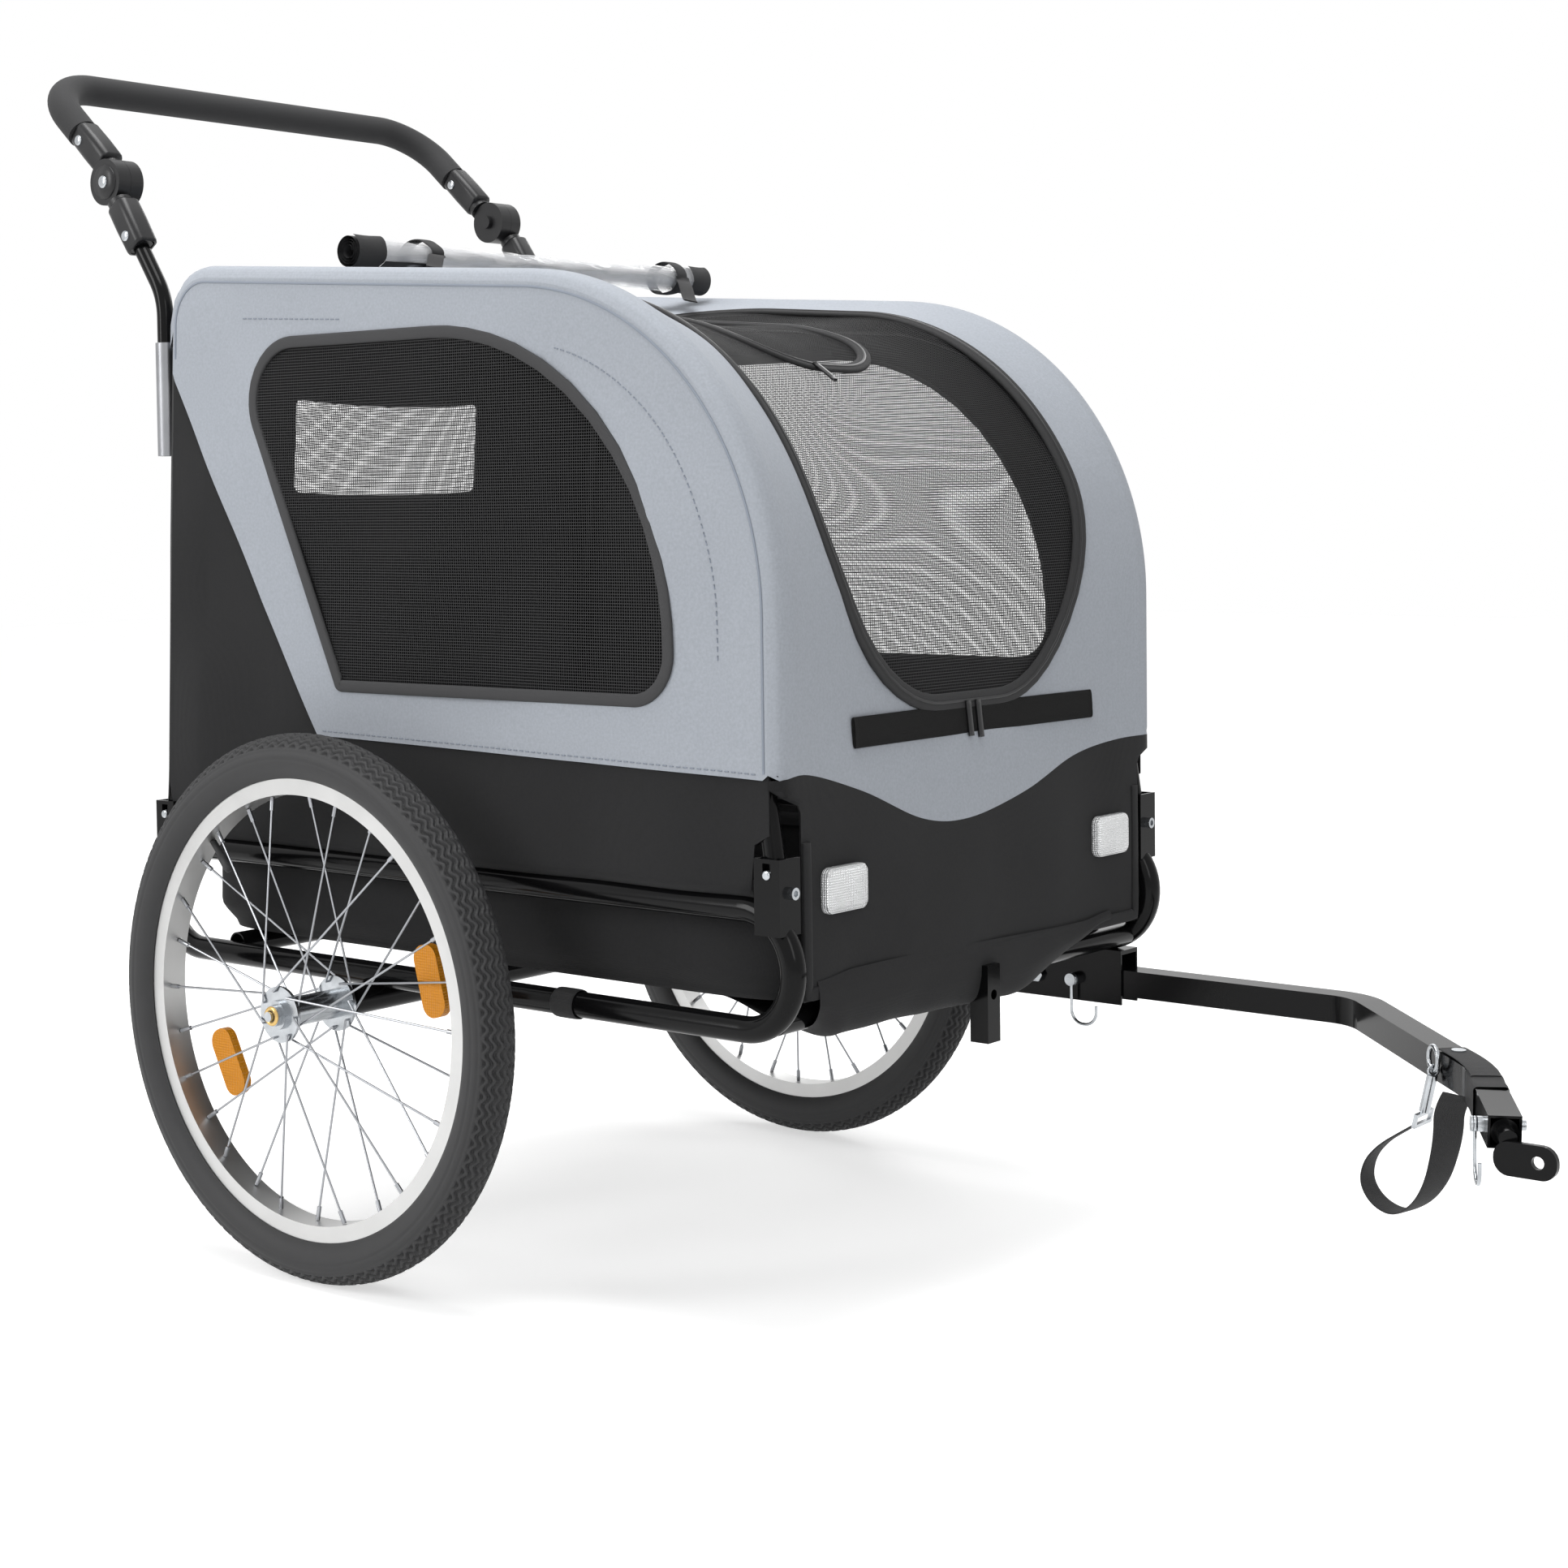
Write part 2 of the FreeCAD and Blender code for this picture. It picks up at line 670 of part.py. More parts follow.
bolts = []
for side_name, side in SIDES.items():
    pair = []
    buttons = []
    for end, x, outward in (("front", d.front_post_forward, 1), ("rear", rear_post[side], -1)):
        name = f"{side_name}_{end}"
        pair.append(bracket(name + "_bracket", side, x))
        bolts.append(pivot_bolt(name + "_pivot_bolt", side, x, outward))
        buttons.append(lock_button(name + "_lock_button", side, x))
    make_node(group(side_name + "_bracket_pair", *pair), side_name + "_hinge_brackets")
    make_node(group(side_name + "_button_pair", *buttons), side_name + "_lock_buttons")
make_node(group("pivot_bolt_set", *bolts), "pivot_bolts")


# Tub and floor board

tub_bottom = socket_top + d.cloth_gap
tub_front = d.front_post_forward + d.hoop_diameter / 2 + d.cloth_gap + d.cloth
tub_height = "loop_height + tub_above_rail - cross_tube_rise - cross_tube_diameter / 2 - cloth_gap"
apron_height = ("loop_height + pivot_rise + apron_above_pivot - cross_tube_rise"
                " - cross_tube_diameter / 2 - cloth_gap")
tub_width = "2 * frame_half_width - rail_diameter - 2 * tub_side_gap"
tub_length = "front_post_forward + hoop_diameter / 2 + cloth_gap + cloth + tub_rear_back"
tub = cut(
    "tub_shell",
    box("tub_outside", at(-d.tub_rear_back, -tub_half_width, tub_bottom),
        tub_length, tub_width, tub_height),
    box("tub_inside", at(-d.tub_rear_back + d.cloth, -tub_half_width + d.cloth, tub_bottom + d.cloth),
        tub_length + " - 2 * cloth", tub_width + " - 2 * cloth", tub_height),
)
apron = box("tub_apron", at(tub_front - d.cloth, -apron_half_width, tub_bottom), "cloth",
            tub_width + " - 2 * apron_inset", apron_height)
make_node(fuse("tub_with_apron", tub, apron), "tub")

floor_inset = d.cloth + d.floor_margin
floor_board = box(
    "floor_plate",
    at(-d.tub_rear_back + floor_inset, -tub_half_width + floor_inset, tub_bottom + d.cloth + d.cloth_gap),
    tub_length + " - 2 * cloth - 2 * floor_margin", tub_width + " - 2 * cloth - 2 * floor_margin",
    "floor_thickness")
make_node(floor_board, "floor_board")


# Cover: sheets that follow the hoops

cover_inside = d.hoop_diameter / 2 + d.cloth_gap
cover_outside = cover_inside + d.cloth
cover_half_width = d.frame_half_width + d.hoop_diameter / 2
rear_x = rear_post[RIGHT]


sag_reach = d.frame_half_width - d.hoop_diameter / 2
roll_half_length = d.frame_half_width - d.rain_roll_inset
sag_power = 2.2
sag_station_shares = (0.72, 0.4)


def sag_at(y):
    """Share of the full sag at a distance across: none at the hoops, all of it in the middle."""
    return 1 - min(1, abs(y) / sag_reach) ** sag_power


def cover_stations():
    """Distances across at which the cover's section is drawn."""
    half = [cover_half_width, sag_reach, roll_half_length]
    half += [sag_reach * share for share in sag_station_shares]
    return [-y for y in half] + [0] + half[::-1]


def cover_section(y):
    """The cloth cut across at a distance: its outer line, its inner line and both ends."""
    share = sag_at(y)
    outer, inner = (
        rounded_edges(hoop_points(offset, rear_x, pivot_height, y, share), hoop_radii(offset))
        for offset in (cover_outside, cover_inside))
    front_end = Part.makeLine(outer[-1].Vertexes[-1].Point, inner[-1].Vertexes[-1].Point)
    rear_end = Part.makeLine(inner[0].Vertexes[0].Point, outer[0].Vertexes[0].Point)
    return Part.Wire([*outer, front_end, *inner[::-1], rear_end])


def cover_band(name):
    """The cloth over front, roof and rear, which sags between the two hoops."""
    band = doc.addObject("Part::Loft", name)
    band.Sections = [solid_feature(f"{name}_section_{count}", cover_section(y))
                     for count, y in enumerate(cover_stations())]
    band.Solid = True
    band.Ruled = False
    return band


slit_height = "lock_rise + slit_above_lock + cut_overrun"


def corner_slits(name, x, length):
    """Room at the lower corners for the hinge brackets."""
    low = pivot_height - d.cut_overrun
    tools = []
    for side_name, side in SIDES.items():
        edge = side * cover_half_width
        y = edge if side == RIGHT else edge - d.corner_slit_width
        tools.append(box(f"{name}_{side_name}", at(x, y, low), length, "corner_slit_width", slit_height))
    return tools


door_axis = Vector(1, 0, 1).normalize()
door_up = Vector(-1, 0, 1).normalize()


def door_outline(clearance):
    """The front door's outline, drawn across the slope between the front and the roof."""
    half = d.door_half_width - clearance
    low = d.door_bottom + clearance
    high = d.door_top - clearance
    centre = at(0, 0, 0) + door_axis * d.door_setback
    points = [centre + door_up * v + Y_AXIS * y
              for y, v in ((-half, low), (half, low), (half, high), (-half, high))]
    radii = [d.door_bottom_radius, d.door_bottom_radius, d.door_top_radius, d.door_top_radius]
    return rounded_loop(points, radii)


def window_outline(clearance, y):
    """The side window's outline in side view."""
    low = pivot_height + d.window_above_pivot + clearance
    high = roof_front_height - d.window_below_roof - clearance
    points = [
        at(-d.window_rear_bottom_back + clearance, y, low),
        at(d.window_front - clearance, y, low),
        at(d.window_front - clearance, y, high),
        at(-d.window_rear_top_back + clearance, y, high),
    ]
    radii = [d.window_rear_bottom_radius, d.window_front_bottom_radius,
             d.window_front_top_radius, d.window_rear_top_radius]
    return rounded_loop(points, radii)


past_cover = "2 * roof_rise"
past_cover_width = "2 * frame_half_width + 2 * hoop_diameter"
past_rear_x = -d.canopy_rear_back - 2 * d.roof_rise
past_side_y = -d.frame_half_width - d.hoop_diameter
rear_half = box("rear_half", at(past_rear_x, past_side_y, 0), past_cover, past_cover_width, past_cover)
rear_keep = box("rear_keep", at(past_rear_x - d.cloth_gap, past_side_y, 0), past_cover, past_cover_width,
                past_cover)

front_slits = corner_slits("front_slit", d.front_post_forward - d.hoop_diameter, "2 * hoop_diameter")
rear_slits = corner_slits("rear_slit", rear_x - 2 * d.hoop_diameter, "3 * hoop_diameter")
door_hole = prism("door_hole", door_outline(0), door_axis, past_cover)
apron_room = box("apron_room", at(d.front_post_forward, -cover_half_width, pivot_height - d.cut_overrun),
                 "hoop_diameter", "2 * frame_half_width + hoop_diameter",
                 "apron_above_pivot + cloth_gap + cut_overrun")
canopy = cut("canopy_panel", cover_band("canopy_band"), rear_half, door_hole, apron_room, *front_slits)
make_node(canopy, "canopy")

door_plug = prism("door_plug", door_outline(d.cloth_gap), door_axis, past_cover)
make_node(common("door_sheet", cover_band("door_band"), door_plug), "front_mesh_door")

rear_window_bottom = roof_rear_height - d.rear_window_below_roof - d.rear_window_height
rear_window_low = at(rear_x - 2 * d.hoop_diameter, -d.rear_window_width / 2, rear_window_bottom)
rear_hole = box("rear_window_hole", rear_window_low, "4 * hoop_diameter", "rear_window_width",
                "rear_window_height")
rear_plug = box("rear_window_plug", rear_window_low + Vector(0, d.cloth_gap, d.cloth_gap), "4 * hoop_diameter",
                "rear_window_width - 2 * cloth_gap", "rear_window_height - 2 * cloth_gap")
rear_panel = cut("rear_panel_sheet", common("rear_band_part", cover_band("rear_band"), rear_keep),
                 rear_hole, *rear_slits)
make_node(rear_panel, "rear_panel")
make_node(common("rear_mesh_sheet", cover_band("rear_mesh_band"), rear_plug), "rear_mesh")


def side_panel(side_name, side):
    """A flat side of the cover with its window opening, and the mesh that fills it."""
    inner = cover_half_width + d.cloth_gap
    y = inner if side == LEFT else -inner - d.cloth
    points = hoop_points(cover_outside, rear_x, pivot_height, y)
    edges = rounded_edges(points, hoop_radii(cover_outside))
    edges.append(Part.makeLine(points[-1], points[0]))
    plate = prism(side_name + "_panel_plate", Part.Wire(edges), Y_AXIS, "cloth")
    slits = []
    for end, x in (("front", d.front_post_forward - d.corner_slit_width / 2),
                   ("rear", rear_post[side] - 2 * d.corner_slit_width)):
        length = "2 * corner_slit_width" if end == "front" else "corner_slit_width * 5 / 2"
        corner = at(x, y - d.cut_overrun, pivot_height - d.cut_overrun)
        slits.append(box(f"{side_name}_{end}_panel_slit", corner, length, "cloth + 2 * cut_overrun",
                         slit_height))
    hole = prism(side_name + "_window_hole", window_outline(0, y - d.cut_overrun), Y_AXIS,
                 "cloth + 2 * cut_overrun")
    make_node(cut(side_name + "_panel", plate, hole, *slits), side_name + "_side_panel")
    make_node(prism(side_name + "_mesh_sheet", window_outline(d.cloth_gap, y), Y_AXIS, "cloth"),
              side_name + "_mesh")


for side_name, side in SIDES.items():
    side_panel(side_name, side)

roof_line = hoop_lines(cover_outside, rear_x, pivot_height, sag_at(roll_half_length))[1:3]
roll_slope = (roof_line[1][1] - roof_line[0][1]) / (roof_line[1][0] - roof_line[0][0])
roll_surface = roof_line[0][1] + roll_slope * (-d.rain_roll_back - roof_line[0][0])
roll_height = roll_surface + d.rain_roll_diameter / 2 * math.hypot(1, roll_slope) + d.cloth_gap
rain_roll = cylinder("rain_roll", at(-d.rain_roll_back, -roll_half_length, roll_height), Y_AXIS,
                     "rain_roll_diameter / 2", "2 * frame_half_width - 2 * rain_roll_inset")
make_node(rain_roll, "rain_cover")

reflectors = []
reflector_bottom = pivot_height - d.front_reflector_drop
for side_name, side in SIDES.items():
    low_y = side * (d.frame_half_width - d.front_reflector_inset) - d.front_reflector_width / 2
    reflectors.append(box(side_name + "_front_reflector", at(tub_front, low_y, reflector_bottom),
                          "front_reflector_thickness", "front_reflector_width", "front_reflector_height"))
make_node(group("front_reflector_pair", *reflectors), "front_reflectors")


# Wheels

def spoke(centre, side, flange_y, face, rim_angle, hub_angle):
    """One straight spoke with its nipple, from a flange face to the rim."""
    hub_radius = d.spoke_circle_diameter / 2
    rim_radius = d.rim_diameter / 2 - d.rim_depth - d.nipple_gap
    flange_face = flange_y + face * (d.hub_flange_thickness / 2 + d.running_clearance)
    face_y = flange_face + face * (d.spoke_elbow + d.spoke_diameter / 2)
    rim_y = math.copysign(d.spoke_rim_offset, flange_y)
    start = centre + Vector(hub_radius * math.cos(hub_angle), side * face_y, hub_radius * math.sin(hub_angle))
    end = centre + Vector(rim_radius * math.cos(rim_angle), side * rim_y, rim_radius * math.sin(rim_angle))
    run = end - start
    direction = Vector(run).normalize()
    wire = Part.makeCylinder(d.spoke_diameter / 2, run.Length, start, direction)
    nipple_start = end - direction * d.nipple_length
    nipple = Part.makeCylinder(d.nipple_diameter / 2, d.nipple_length, nipple_start, direction)
    elbow_length = d.spoke_elbow + d.spoke_diameter / 2
    elbow = Part.makeCylinder(d.spoke_diameter / 2, elbow_length, start, Y_AXIS * (-side * face))
    return wire.multiFuse([nipple, elbow])


def wheel_spokes(centre, side):
    count = int(d.spokes_per_flange)
    step = 2 * math.pi / count
    shapes = []
    for flange_y, shift in ((d.hub_outer_flange, 0), (-d.hub_inner_flange, step / 2)):
        for index in range(count):
            lean = 1 if index % 2 == 0 else -1
            rim_angle = index * step + shift
            shapes.append(spoke(centre, side, flange_y, lean, rim_angle, rim_angle + lean * 2 * step))
    return Part.makeCompound(shapes)


def hub(name, centre, side):
    """A barrel with two drilled flanges, bored to run on the axle."""
    end = centre - Y_AXIS * (side * d.hub_length / 2)
    barrel = cylinder(name + "_barrel", end, Y_AXIS * side, "hub_barrel_diameter / 2", "hub_length")
    flanges = []
    for flange, y in (("outer", d.hub_outer_flange), ("inner", -d.hub_inner_flange)):
        start = centre + Y_AXIS * (side * (y - d.hub_flange_thickness / 2))
        flanges.append(cylinder(f"{name}_{flange}_flange", start, Y_AXIS * side,
                                "hub_flange_diameter / 2", "hub_flange_thickness"))
    bore = cylinder(name + "_bore", end, Y_AXIS * side, "axle_diameter / 2 + running_clearance", "hub_length")
    return cut(name, fuse(name + "_body", barrel, *flanges), bore)


def wheel_reflector(name, centre, side, angle, inset):
    """A long rounded reflector clipped to the inner spokes."""
    outward = Vector(math.cos(angle), 0, math.sin(angle))
    along = Vector(-math.sin(angle), 0, math.cos(angle))
    middle = centre + outward * (d.wheel_reflector_circle / 2) - Y_AXIS * (side * inset)
    half_length = d.wheel_reflector_length / 2
    half_width = d.wheel_reflector_width / 2
    points = [middle + along * (a * half_length) + outward * (b * half_width)
              for a, b in ((-1, -1), (1, -1), (1, 1), (-1, 1))]
    corner_share = 0.9
    radii = [half_width * corner_share] * len(points)
    return prism(name, rounded_loop(points, radii), Y_AXIS * -side, "wheel_reflector_thickness")


def wheel(side_name, side):
    centre = at(0, side * wheel_track / 2, wheel_radius)
    rim_face = centre - Y_AXIS * (side * d.rim_width / 2)
    well_face = rim_face + Y_AXIS * (side * d.rim_side_wall)
    name = side_name + "_wheel"
    circle = "tyre_diameter / 2 - tyre_width / 2"
    tyre_seat = cylinder(name + "_seat", centre - Y_AXIS * (side * d.tyre_width), Y_AXIS * side,
                         "rim_diameter / 2 + running_clearance", "2 * tyre_width")
    bead = centre - Y_AXIS * (side * d.tyre_bead_width / 2)
    tyre_outside = fuse(
        name + "_tyre_outside",
        torus(name + "_casing_outside", centre, Y_AXIS, circle, "tyre_width / 2"),
        cylinder(name + "_walls_outside", bead, Y_AXIS * side, circle, "tyre_bead_width"))
    tyre_inside = fuse(
        name + "_tyre_inside",
        torus(name + "_casing_inside", centre, Y_AXIS, circle, "tyre_width / 2 - tyre_wall"),
        cylinder(name + "_walls_inside", bead + Y_AXIS * (side * d.tyre_wall), Y_AXIS * side, circle,
                 "tyre_bead_width - 2 * tyre_wall"))
    tyre = cut(name + "_tyre", tyre_outside, tyre_inside, tyre_seat)
    valve_angle = math.radians(d.valve_angle)
    valve_out = Vector(math.cos(valve_angle), 0, math.sin(valve_angle))
    valve_start = centre + valve_out * (d.rim_diameter / 2 - d.rim_depth - d.nipple_gap - d.valve_length)
    valve = cylinder(name + "_valve", valve_start, valve_out, "valve_diameter / 2", "valve_length")
    make_node(group(name + "_rubber", tyre, valve), side_name + "_tyre")
    rim = cut(
        name + "_rim",
        cylinder(name + "_rim_outside", rim_face, Y_AXIS * side, "rim_diameter / 2", "rim_width"),
        cylinder(name + "_rim_inside", rim_face, Y_AXIS * side, "rim_diameter / 2 - rim_depth", "rim_width"),
        cut(name + "_rim_well",
            cylinder(name + "_well_outside", well_face, Y_AXIS * side, "rim_diameter / 2 + cut_overrun",
                     "rim_width - 2 * rim_side_wall"),
            cylinder(name + "_well_floor", well_face, Y_AXIS * side, "rim_diameter / 2 - rim_well_depth",
                     "rim_width - 2 * rim_side_wall")),
    )
    make_node(rim, side_name + "_rim")
    make_node(solid_feature(name + "_spokes", wheel_spokes(centre, side)), side_name + "_spokes")
    make_node(hub(name + "_hub", centre, side), side_name + "_hub")
    pair = []
    for count in range(2):
        angle = math.radians(d.wheel_reflector_angle + count * d.wheel_reflector_turn)
        inset = d.wheel_reflector_inset - count * d.wheel_reflector_step
        pair.append(wheel_reflector(f"{name}_reflector_{count}", centre, side, angle, inset))
    make_node(group(name + "_reflectors", *pair), side_name + "_wheel_reflectors")


def axle(side_name, side):
    """A quick-release axle with a push button in its outer end."""
    hub_end = wheel_track / 2 + d.hub_length / 2
    inner_end = axle_tube_length / 2 - d.axle_depth
    head_face = at(0, side * (hub_end + d.running_clearance), wheel_radius)
    outer_end = head_face + Y_AXIS * (side * d.axle_head_thickness)
    inner_point = at(0, side * inner_end, wheel_radius)
    name = side_name + "_axle"
    shank_length = "hub_length + axle_tube_end_gap + running_clearance + axle_depth"
    shank = cylinder(name + "_shank", inner_point, Y_AXIS * side, "axle_diameter / 2", shank_length)
    head = cylinder(name + "_head", head_face, Y_AXIS * side, "axle_head_diameter / 2", "axle_head_thickness")
    pocket = cylinder(name + "_pocket", outer_end, Y_AXIS * -side,
                      "axle_button_diameter / 2 + sliding_clearance",
                      "axle_button_length - axle_button_stand + axle_button_travel")
    make_node(cut(name + "_bored", fuse(name + "_body", shank, head), pocket), name)
    tip = outer_end + Y_AXIS * (side * d.axle_button_stand)
    button = cylinder(name + "_stem", tip, Y_AXIS * -side, "axle_button_diameter / 2", "axle_button_length")
    make_node(button, name + "_button")


for side_name, side in SIDES.items():
    wheel(side_name, side)
    axle(side_name, side)


# Push handle

hinge_x = -d.handle_hinge_back
leg_run = Vector(-d.handle_rear_back + d.handle_hinge_back, 0, d.handle_grip_rise)
leg_direction = leg_run.normalize()
sleeve_bottom = sleeve_top - d.sleeve_length
sleeve_face = hoop_lines(cover_outside, rear_x, sleeve_bottom)[0][0]
base_x = sleeve_face - d.cloth_gap - d.sleeve_diameter / 2


def handle_point(side, half_width, along):
    """A point on the upper leg, counted from the hinge."""
    return at(hinge_x, side * half_width, hinge_height) + leg_direction * along


def handle_route(start):
    corner = {side: at(-d.handle_rear_back, side * leg_half_width, grip_height)
              for side in (RIGHT, LEFT)}
    points = [handle_point(RIGHT, leg_half_width, start), corner[RIGHT], corner[LEFT],
              handle_point(LEFT, leg_half_width, start)]
    return rounded_edges(points, [d.handle_corner_radius] * 2)


bar, _ = tube("handle_bar_tube", handle_route(d.leg_tube_start), "handle_tube_diameter", "handle_tube_wall")
make_node(bar, "handle_bar")
foam, _ = tube("foam_tube", handle_route(d.foam_start), "foam_diameter",
               "(foam_diameter - handle_tube_diameter) / 2 - running_clearance")
make_node(foam, "foam_grip")

base_bend_height = sleeve_top + d.base_bend_rise
base_bend = {side: at(base_x, side * base_half_width, base_bend_height) for side in (RIGHT, LEFT)}
neck_run = Vector(base_x - hinge_x, 0, base_bend_height - hinge_height)
neck_direction = neck_run.normalize()


def hinge_half(name, side, inner_y, tube_y, direction, tube_diameter):
    """A disc with a neck that takes a tube's end."""
    centre = at(hinge_x, side * tube_y, hinge_height)
    disc = cylinder(name + "_disc", at(hinge_x, side * inner_y, hinge_height), Y_AXIS * side,
                    "hinge_disc_diameter / 2", "hinge_disc_thickness")
    web = cylinder(name + "_web", centre, direction, "hinge_web_diameter / 2", "hinge_neck_end / 2")
    neck = cylinder(name + "_neck", centre + direction * d.hinge_neck_start, direction,
                    "hinge_neck_diameter / 2", "hinge_neck_end - hinge_neck_start")
    bore = cylinder(name + "_bore", centre + direction * d.leg_tube_start, direction,
                    tube_diameter + " / 2 + running_clearance", "hinge_neck_end")
    return cut(name + "_bored", fuse(name, disc, web, neck), bore)


gap = d.sliding_clearance
hinge_plane = (leg_half_width + base_half_width) / 2
upper_inner = hinge_plane - gap / 2 - d.hinge_disc_thickness
lower_inner = hinge_plane + gap / 2
upper_halves, lower_halves, base_tubes, sleeves = [], [], [], []
for side_name, side in SIDES.items():
    upper = hinge_half(side_name + "_upper_half", side, upper_inner, leg_half_width,
                       leg_direction, "handle_tube_diameter")
    button_bore = cylinder(side_name + "_button_bore", at(hinge_x, side * upper_inner, hinge_height),
                           Y_AXIS * side, "handle_button_diameter / 2 + sliding_clearance",
                           "hinge_disc_thickness")
    upper_halves.append(cut(side_name + "_upper_open", upper, button_bore))
    lower = hinge_half(side_name + "_lower_half", side, lower_inner, base_half_width,
                       neck_direction, "base_tube_diameter")
    pocket = cylinder(side_name + "_button_pocket", at(hinge_x, side * lower_inner, hinge_height),
                      Y_AXIS * side, "handle_button_diameter / 2 + sliding_clearance",
                      "handle_button_seat + handle_button_travel")
    lower_halves.append(cut(side_name + "_lower_open", lower, pocket))
    button_start = upper_inner - d.handle_button_stand
    button = cylinder(side_name + "_handle_button_stem", at(hinge_x, side * button_start, hinge_height),
                      Y_AXIS * side, "handle_button_diameter / 2",
                      "handle_button_stand + hinge_disc_thickness + sliding_clearance + handle_button_seat")
    make_node(button, side_name + "_handle_button")
    foot = at(base_x, side * base_half_width, sleeve_top - d.base_tube_insertion)
    top = at(hinge_x, side * base_half_width, hinge_height) + neck_direction * d.leg_tube_start
    route = rounded_edges([foot, base_bend[side], top], [d.base_bend_radius])
    lower_tube, _ = tube(side_name + "_base_tube", route, "base_tube_diameter", "base_tube_wall")
    base_tubes.append(lower_tube)
    sleeve_foot = at(base_x, side * base_half_width, sleeve_bottom)
    sleeves.append(straight_tube(side_name + "_sleeve", sleeve_foot, Z_AXIS, "sleeve_diameter",
                                 "(sleeve_diameter - base_tube_diameter) / 2 - sliding_clearance",
                                 "sleeve_length"))
make_node(group("upper_half_pair", *upper_halves), "handle_upper_hinges")
make_node(group("lower_half_pair", *lower_halves), "handle_lower_hinges")
make_node(group("base_tube_pair", *base_tubes), "handle_base_tubes")
make_node(group("sleeve_pair", *sleeves), "handle_sleeves")


# Tow arm

arm_y = d.frame_half_width
arm_tail = at(d.arm_pivot_forward - d.arm_tail, arm_y, arm_height)
arm_first = at(d.arm_first_bend_forward, arm_y, arm_height)
arm_second = at(d.arm_second_bend_forward, d.arm_second_bend_left, arm_second_bend_height)
arm_end = at(d.arm_end_forward, -d.arm_end_right, arm_end_height)
middle_direction = (arm_second - arm_first).normalize()
end_direction = (arm_end - arm_second).normalize()
middle_turn = Rotation(X_AXIS, middle_direction)
end_turn = Rotation(middle_direction, end_direction).multiply(middle_turn)
arm_sideways = end_turn.multVec(Y_AXIS) * -1


def square_section(width):
    half = width / 2
    unit_square = ((-1, -1), (1, -1), (1, 1), (-1, 1), (-1, -1))
    return Part.makePolygon([arm_tail + Vector(0, y * half, z * half) for y, z in unit_square])


def square_sweep(name, spine, width):
    section = solid_feature(name + "_section", square_section(width))
    obj = doc.addObject("Part::Sweep", name)
    obj.Sections = [section]
    obj.Spine = (spine, [f"Edge{count + 1}" for count in range(len(spine.Shape.Edges))])
    obj.Solid = True
    obj.Frenet = False
    return obj


arm_route = rounded_edges([arm_tail, arm_first, arm_second, arm_end], [d.arm_bend_radius] * 2)
arm_spine = solid_feature("arm_route", Part.Wire(arm_route))
arm_outside = square_sweep("arm_outside", arm_spine, d.arm_width)
arm_inside = square_sweep("arm_inside", arm_spine, d.arm_width - 2 * d.arm_wall)
arm_side_face = arm_y - d.arm_width
pivot_hole = cylinder("arm_pivot_hole", at(d.arm_pivot_forward, arm_side_face, arm_height), Y_AXIS,
                      "tow_bolt_diameter / 2 + running_clearance", "2 * arm_width")
pin_hole = cylinder("arm_pin_hole", at(d.arm_pin_forward, arm_side_face, arm_height), Y_AXIS,
                    "tow_pin_diameter / 2 + sliding_clearance", "2 * arm_width")
slot_back = d.tow_pin_diameter / 2 + d.sliding_clearance + d.arm_slot_sweep
pin_slot = box("arm_pin_slot", at(d.arm_pin_forward - slot_back, arm_side_face, arm_height),
               "tow_pin_diameter + 2 * sliding_clearance + arm_slot_sweep", "2 * arm_width", "arm_width")
coupler_pin_centre = arm_end - end_direction * d.coupler_pin_inset
coupler_pin_start = coupler_pin_centre - arm_sideways * d.arm_width
coupler_pin_hole = cylinder("coupler_pin_hole", coupler_pin_start, arm_sideways,
                            "tow_pin_diameter / 2 + sliding_clearance", "2 * arm_width")
middle_up = middle_turn.multVec(Z_AXIS)
middle_sideways = middle_turn.multVec(Y_AXIS) * -1
strap_bolt_centre = arm_second - middle_direction * d.strap_bolt_inset
strap_bolt_start = strap_bolt_centre - middle_up * d.arm_width
strap_bolt_hole = cylinder("strap_bolt_hole", strap_bolt_start, middle_up,
                           "strap_bolt_diameter / 2 + running_clearance", "2 * arm_width")
make_node(cut("tow_arm_tube", arm_outside, arm_inside, pivot_hole, pin_hole, pin_slot,
              coupler_pin_hole, strap_bolt_hole), "tow_arm")

bracket_half = d.arm_width / 2 + d.tow_bracket_clearance
tow_bracket_bottom = arm_height - d.tow_bracket_below_arm
tow_bracket_low = at(d.tow_bracket_rear, arm_y - bracket_half - d.tow_bracket_wall, tow_bracket_bottom)
tow_bracket_inner = at(d.tow_bracket_rear - d.cut_overrun, arm_y - bracket_half, tow_bracket_bottom)
across = "arm_width + 2 * tow_bracket_clearance"
roof_height_text = ("tow_bracket_below_arm + arm_below_rail - rail_diameter / 2"
                    " + tow_bracket_rail_bite")
bracket_span = across + " + 2 * tow_bracket_wall"
bracket_start = arm_y - bracket_half - d.tow_bracket_wall
bracket_holes = [
    cylinder("tow_bracket_bolt_hole", at(d.arm_pivot_forward, bracket_start, arm_height), Y_AXIS,
             "tow_bolt_diameter / 2 + running_clearance", bracket_span),
    cylinder("tow_bracket_pin_hole", at(d.arm_pin_forward, bracket_start, arm_height), Y_AXIS,
             "tow_pin_diameter / 2 + sliding_clearance", bracket_span),
]
tow_bracket = cut(
    "tow_bracket_channel",
    box("tow_bracket_outside", tow_bracket_low, "tow_bracket_length", bracket_span, roof_height_text),
    box("tow_bracket_inside", tow_bracket_inner, "tow_bracket_length + 2 * cut_overrun", across,
        roof_height_text + " - tow_bracket_roof"),
    loop_outside[LEFT], *bracket_holes)
make_node(tow_bracket, "tow_bracket")

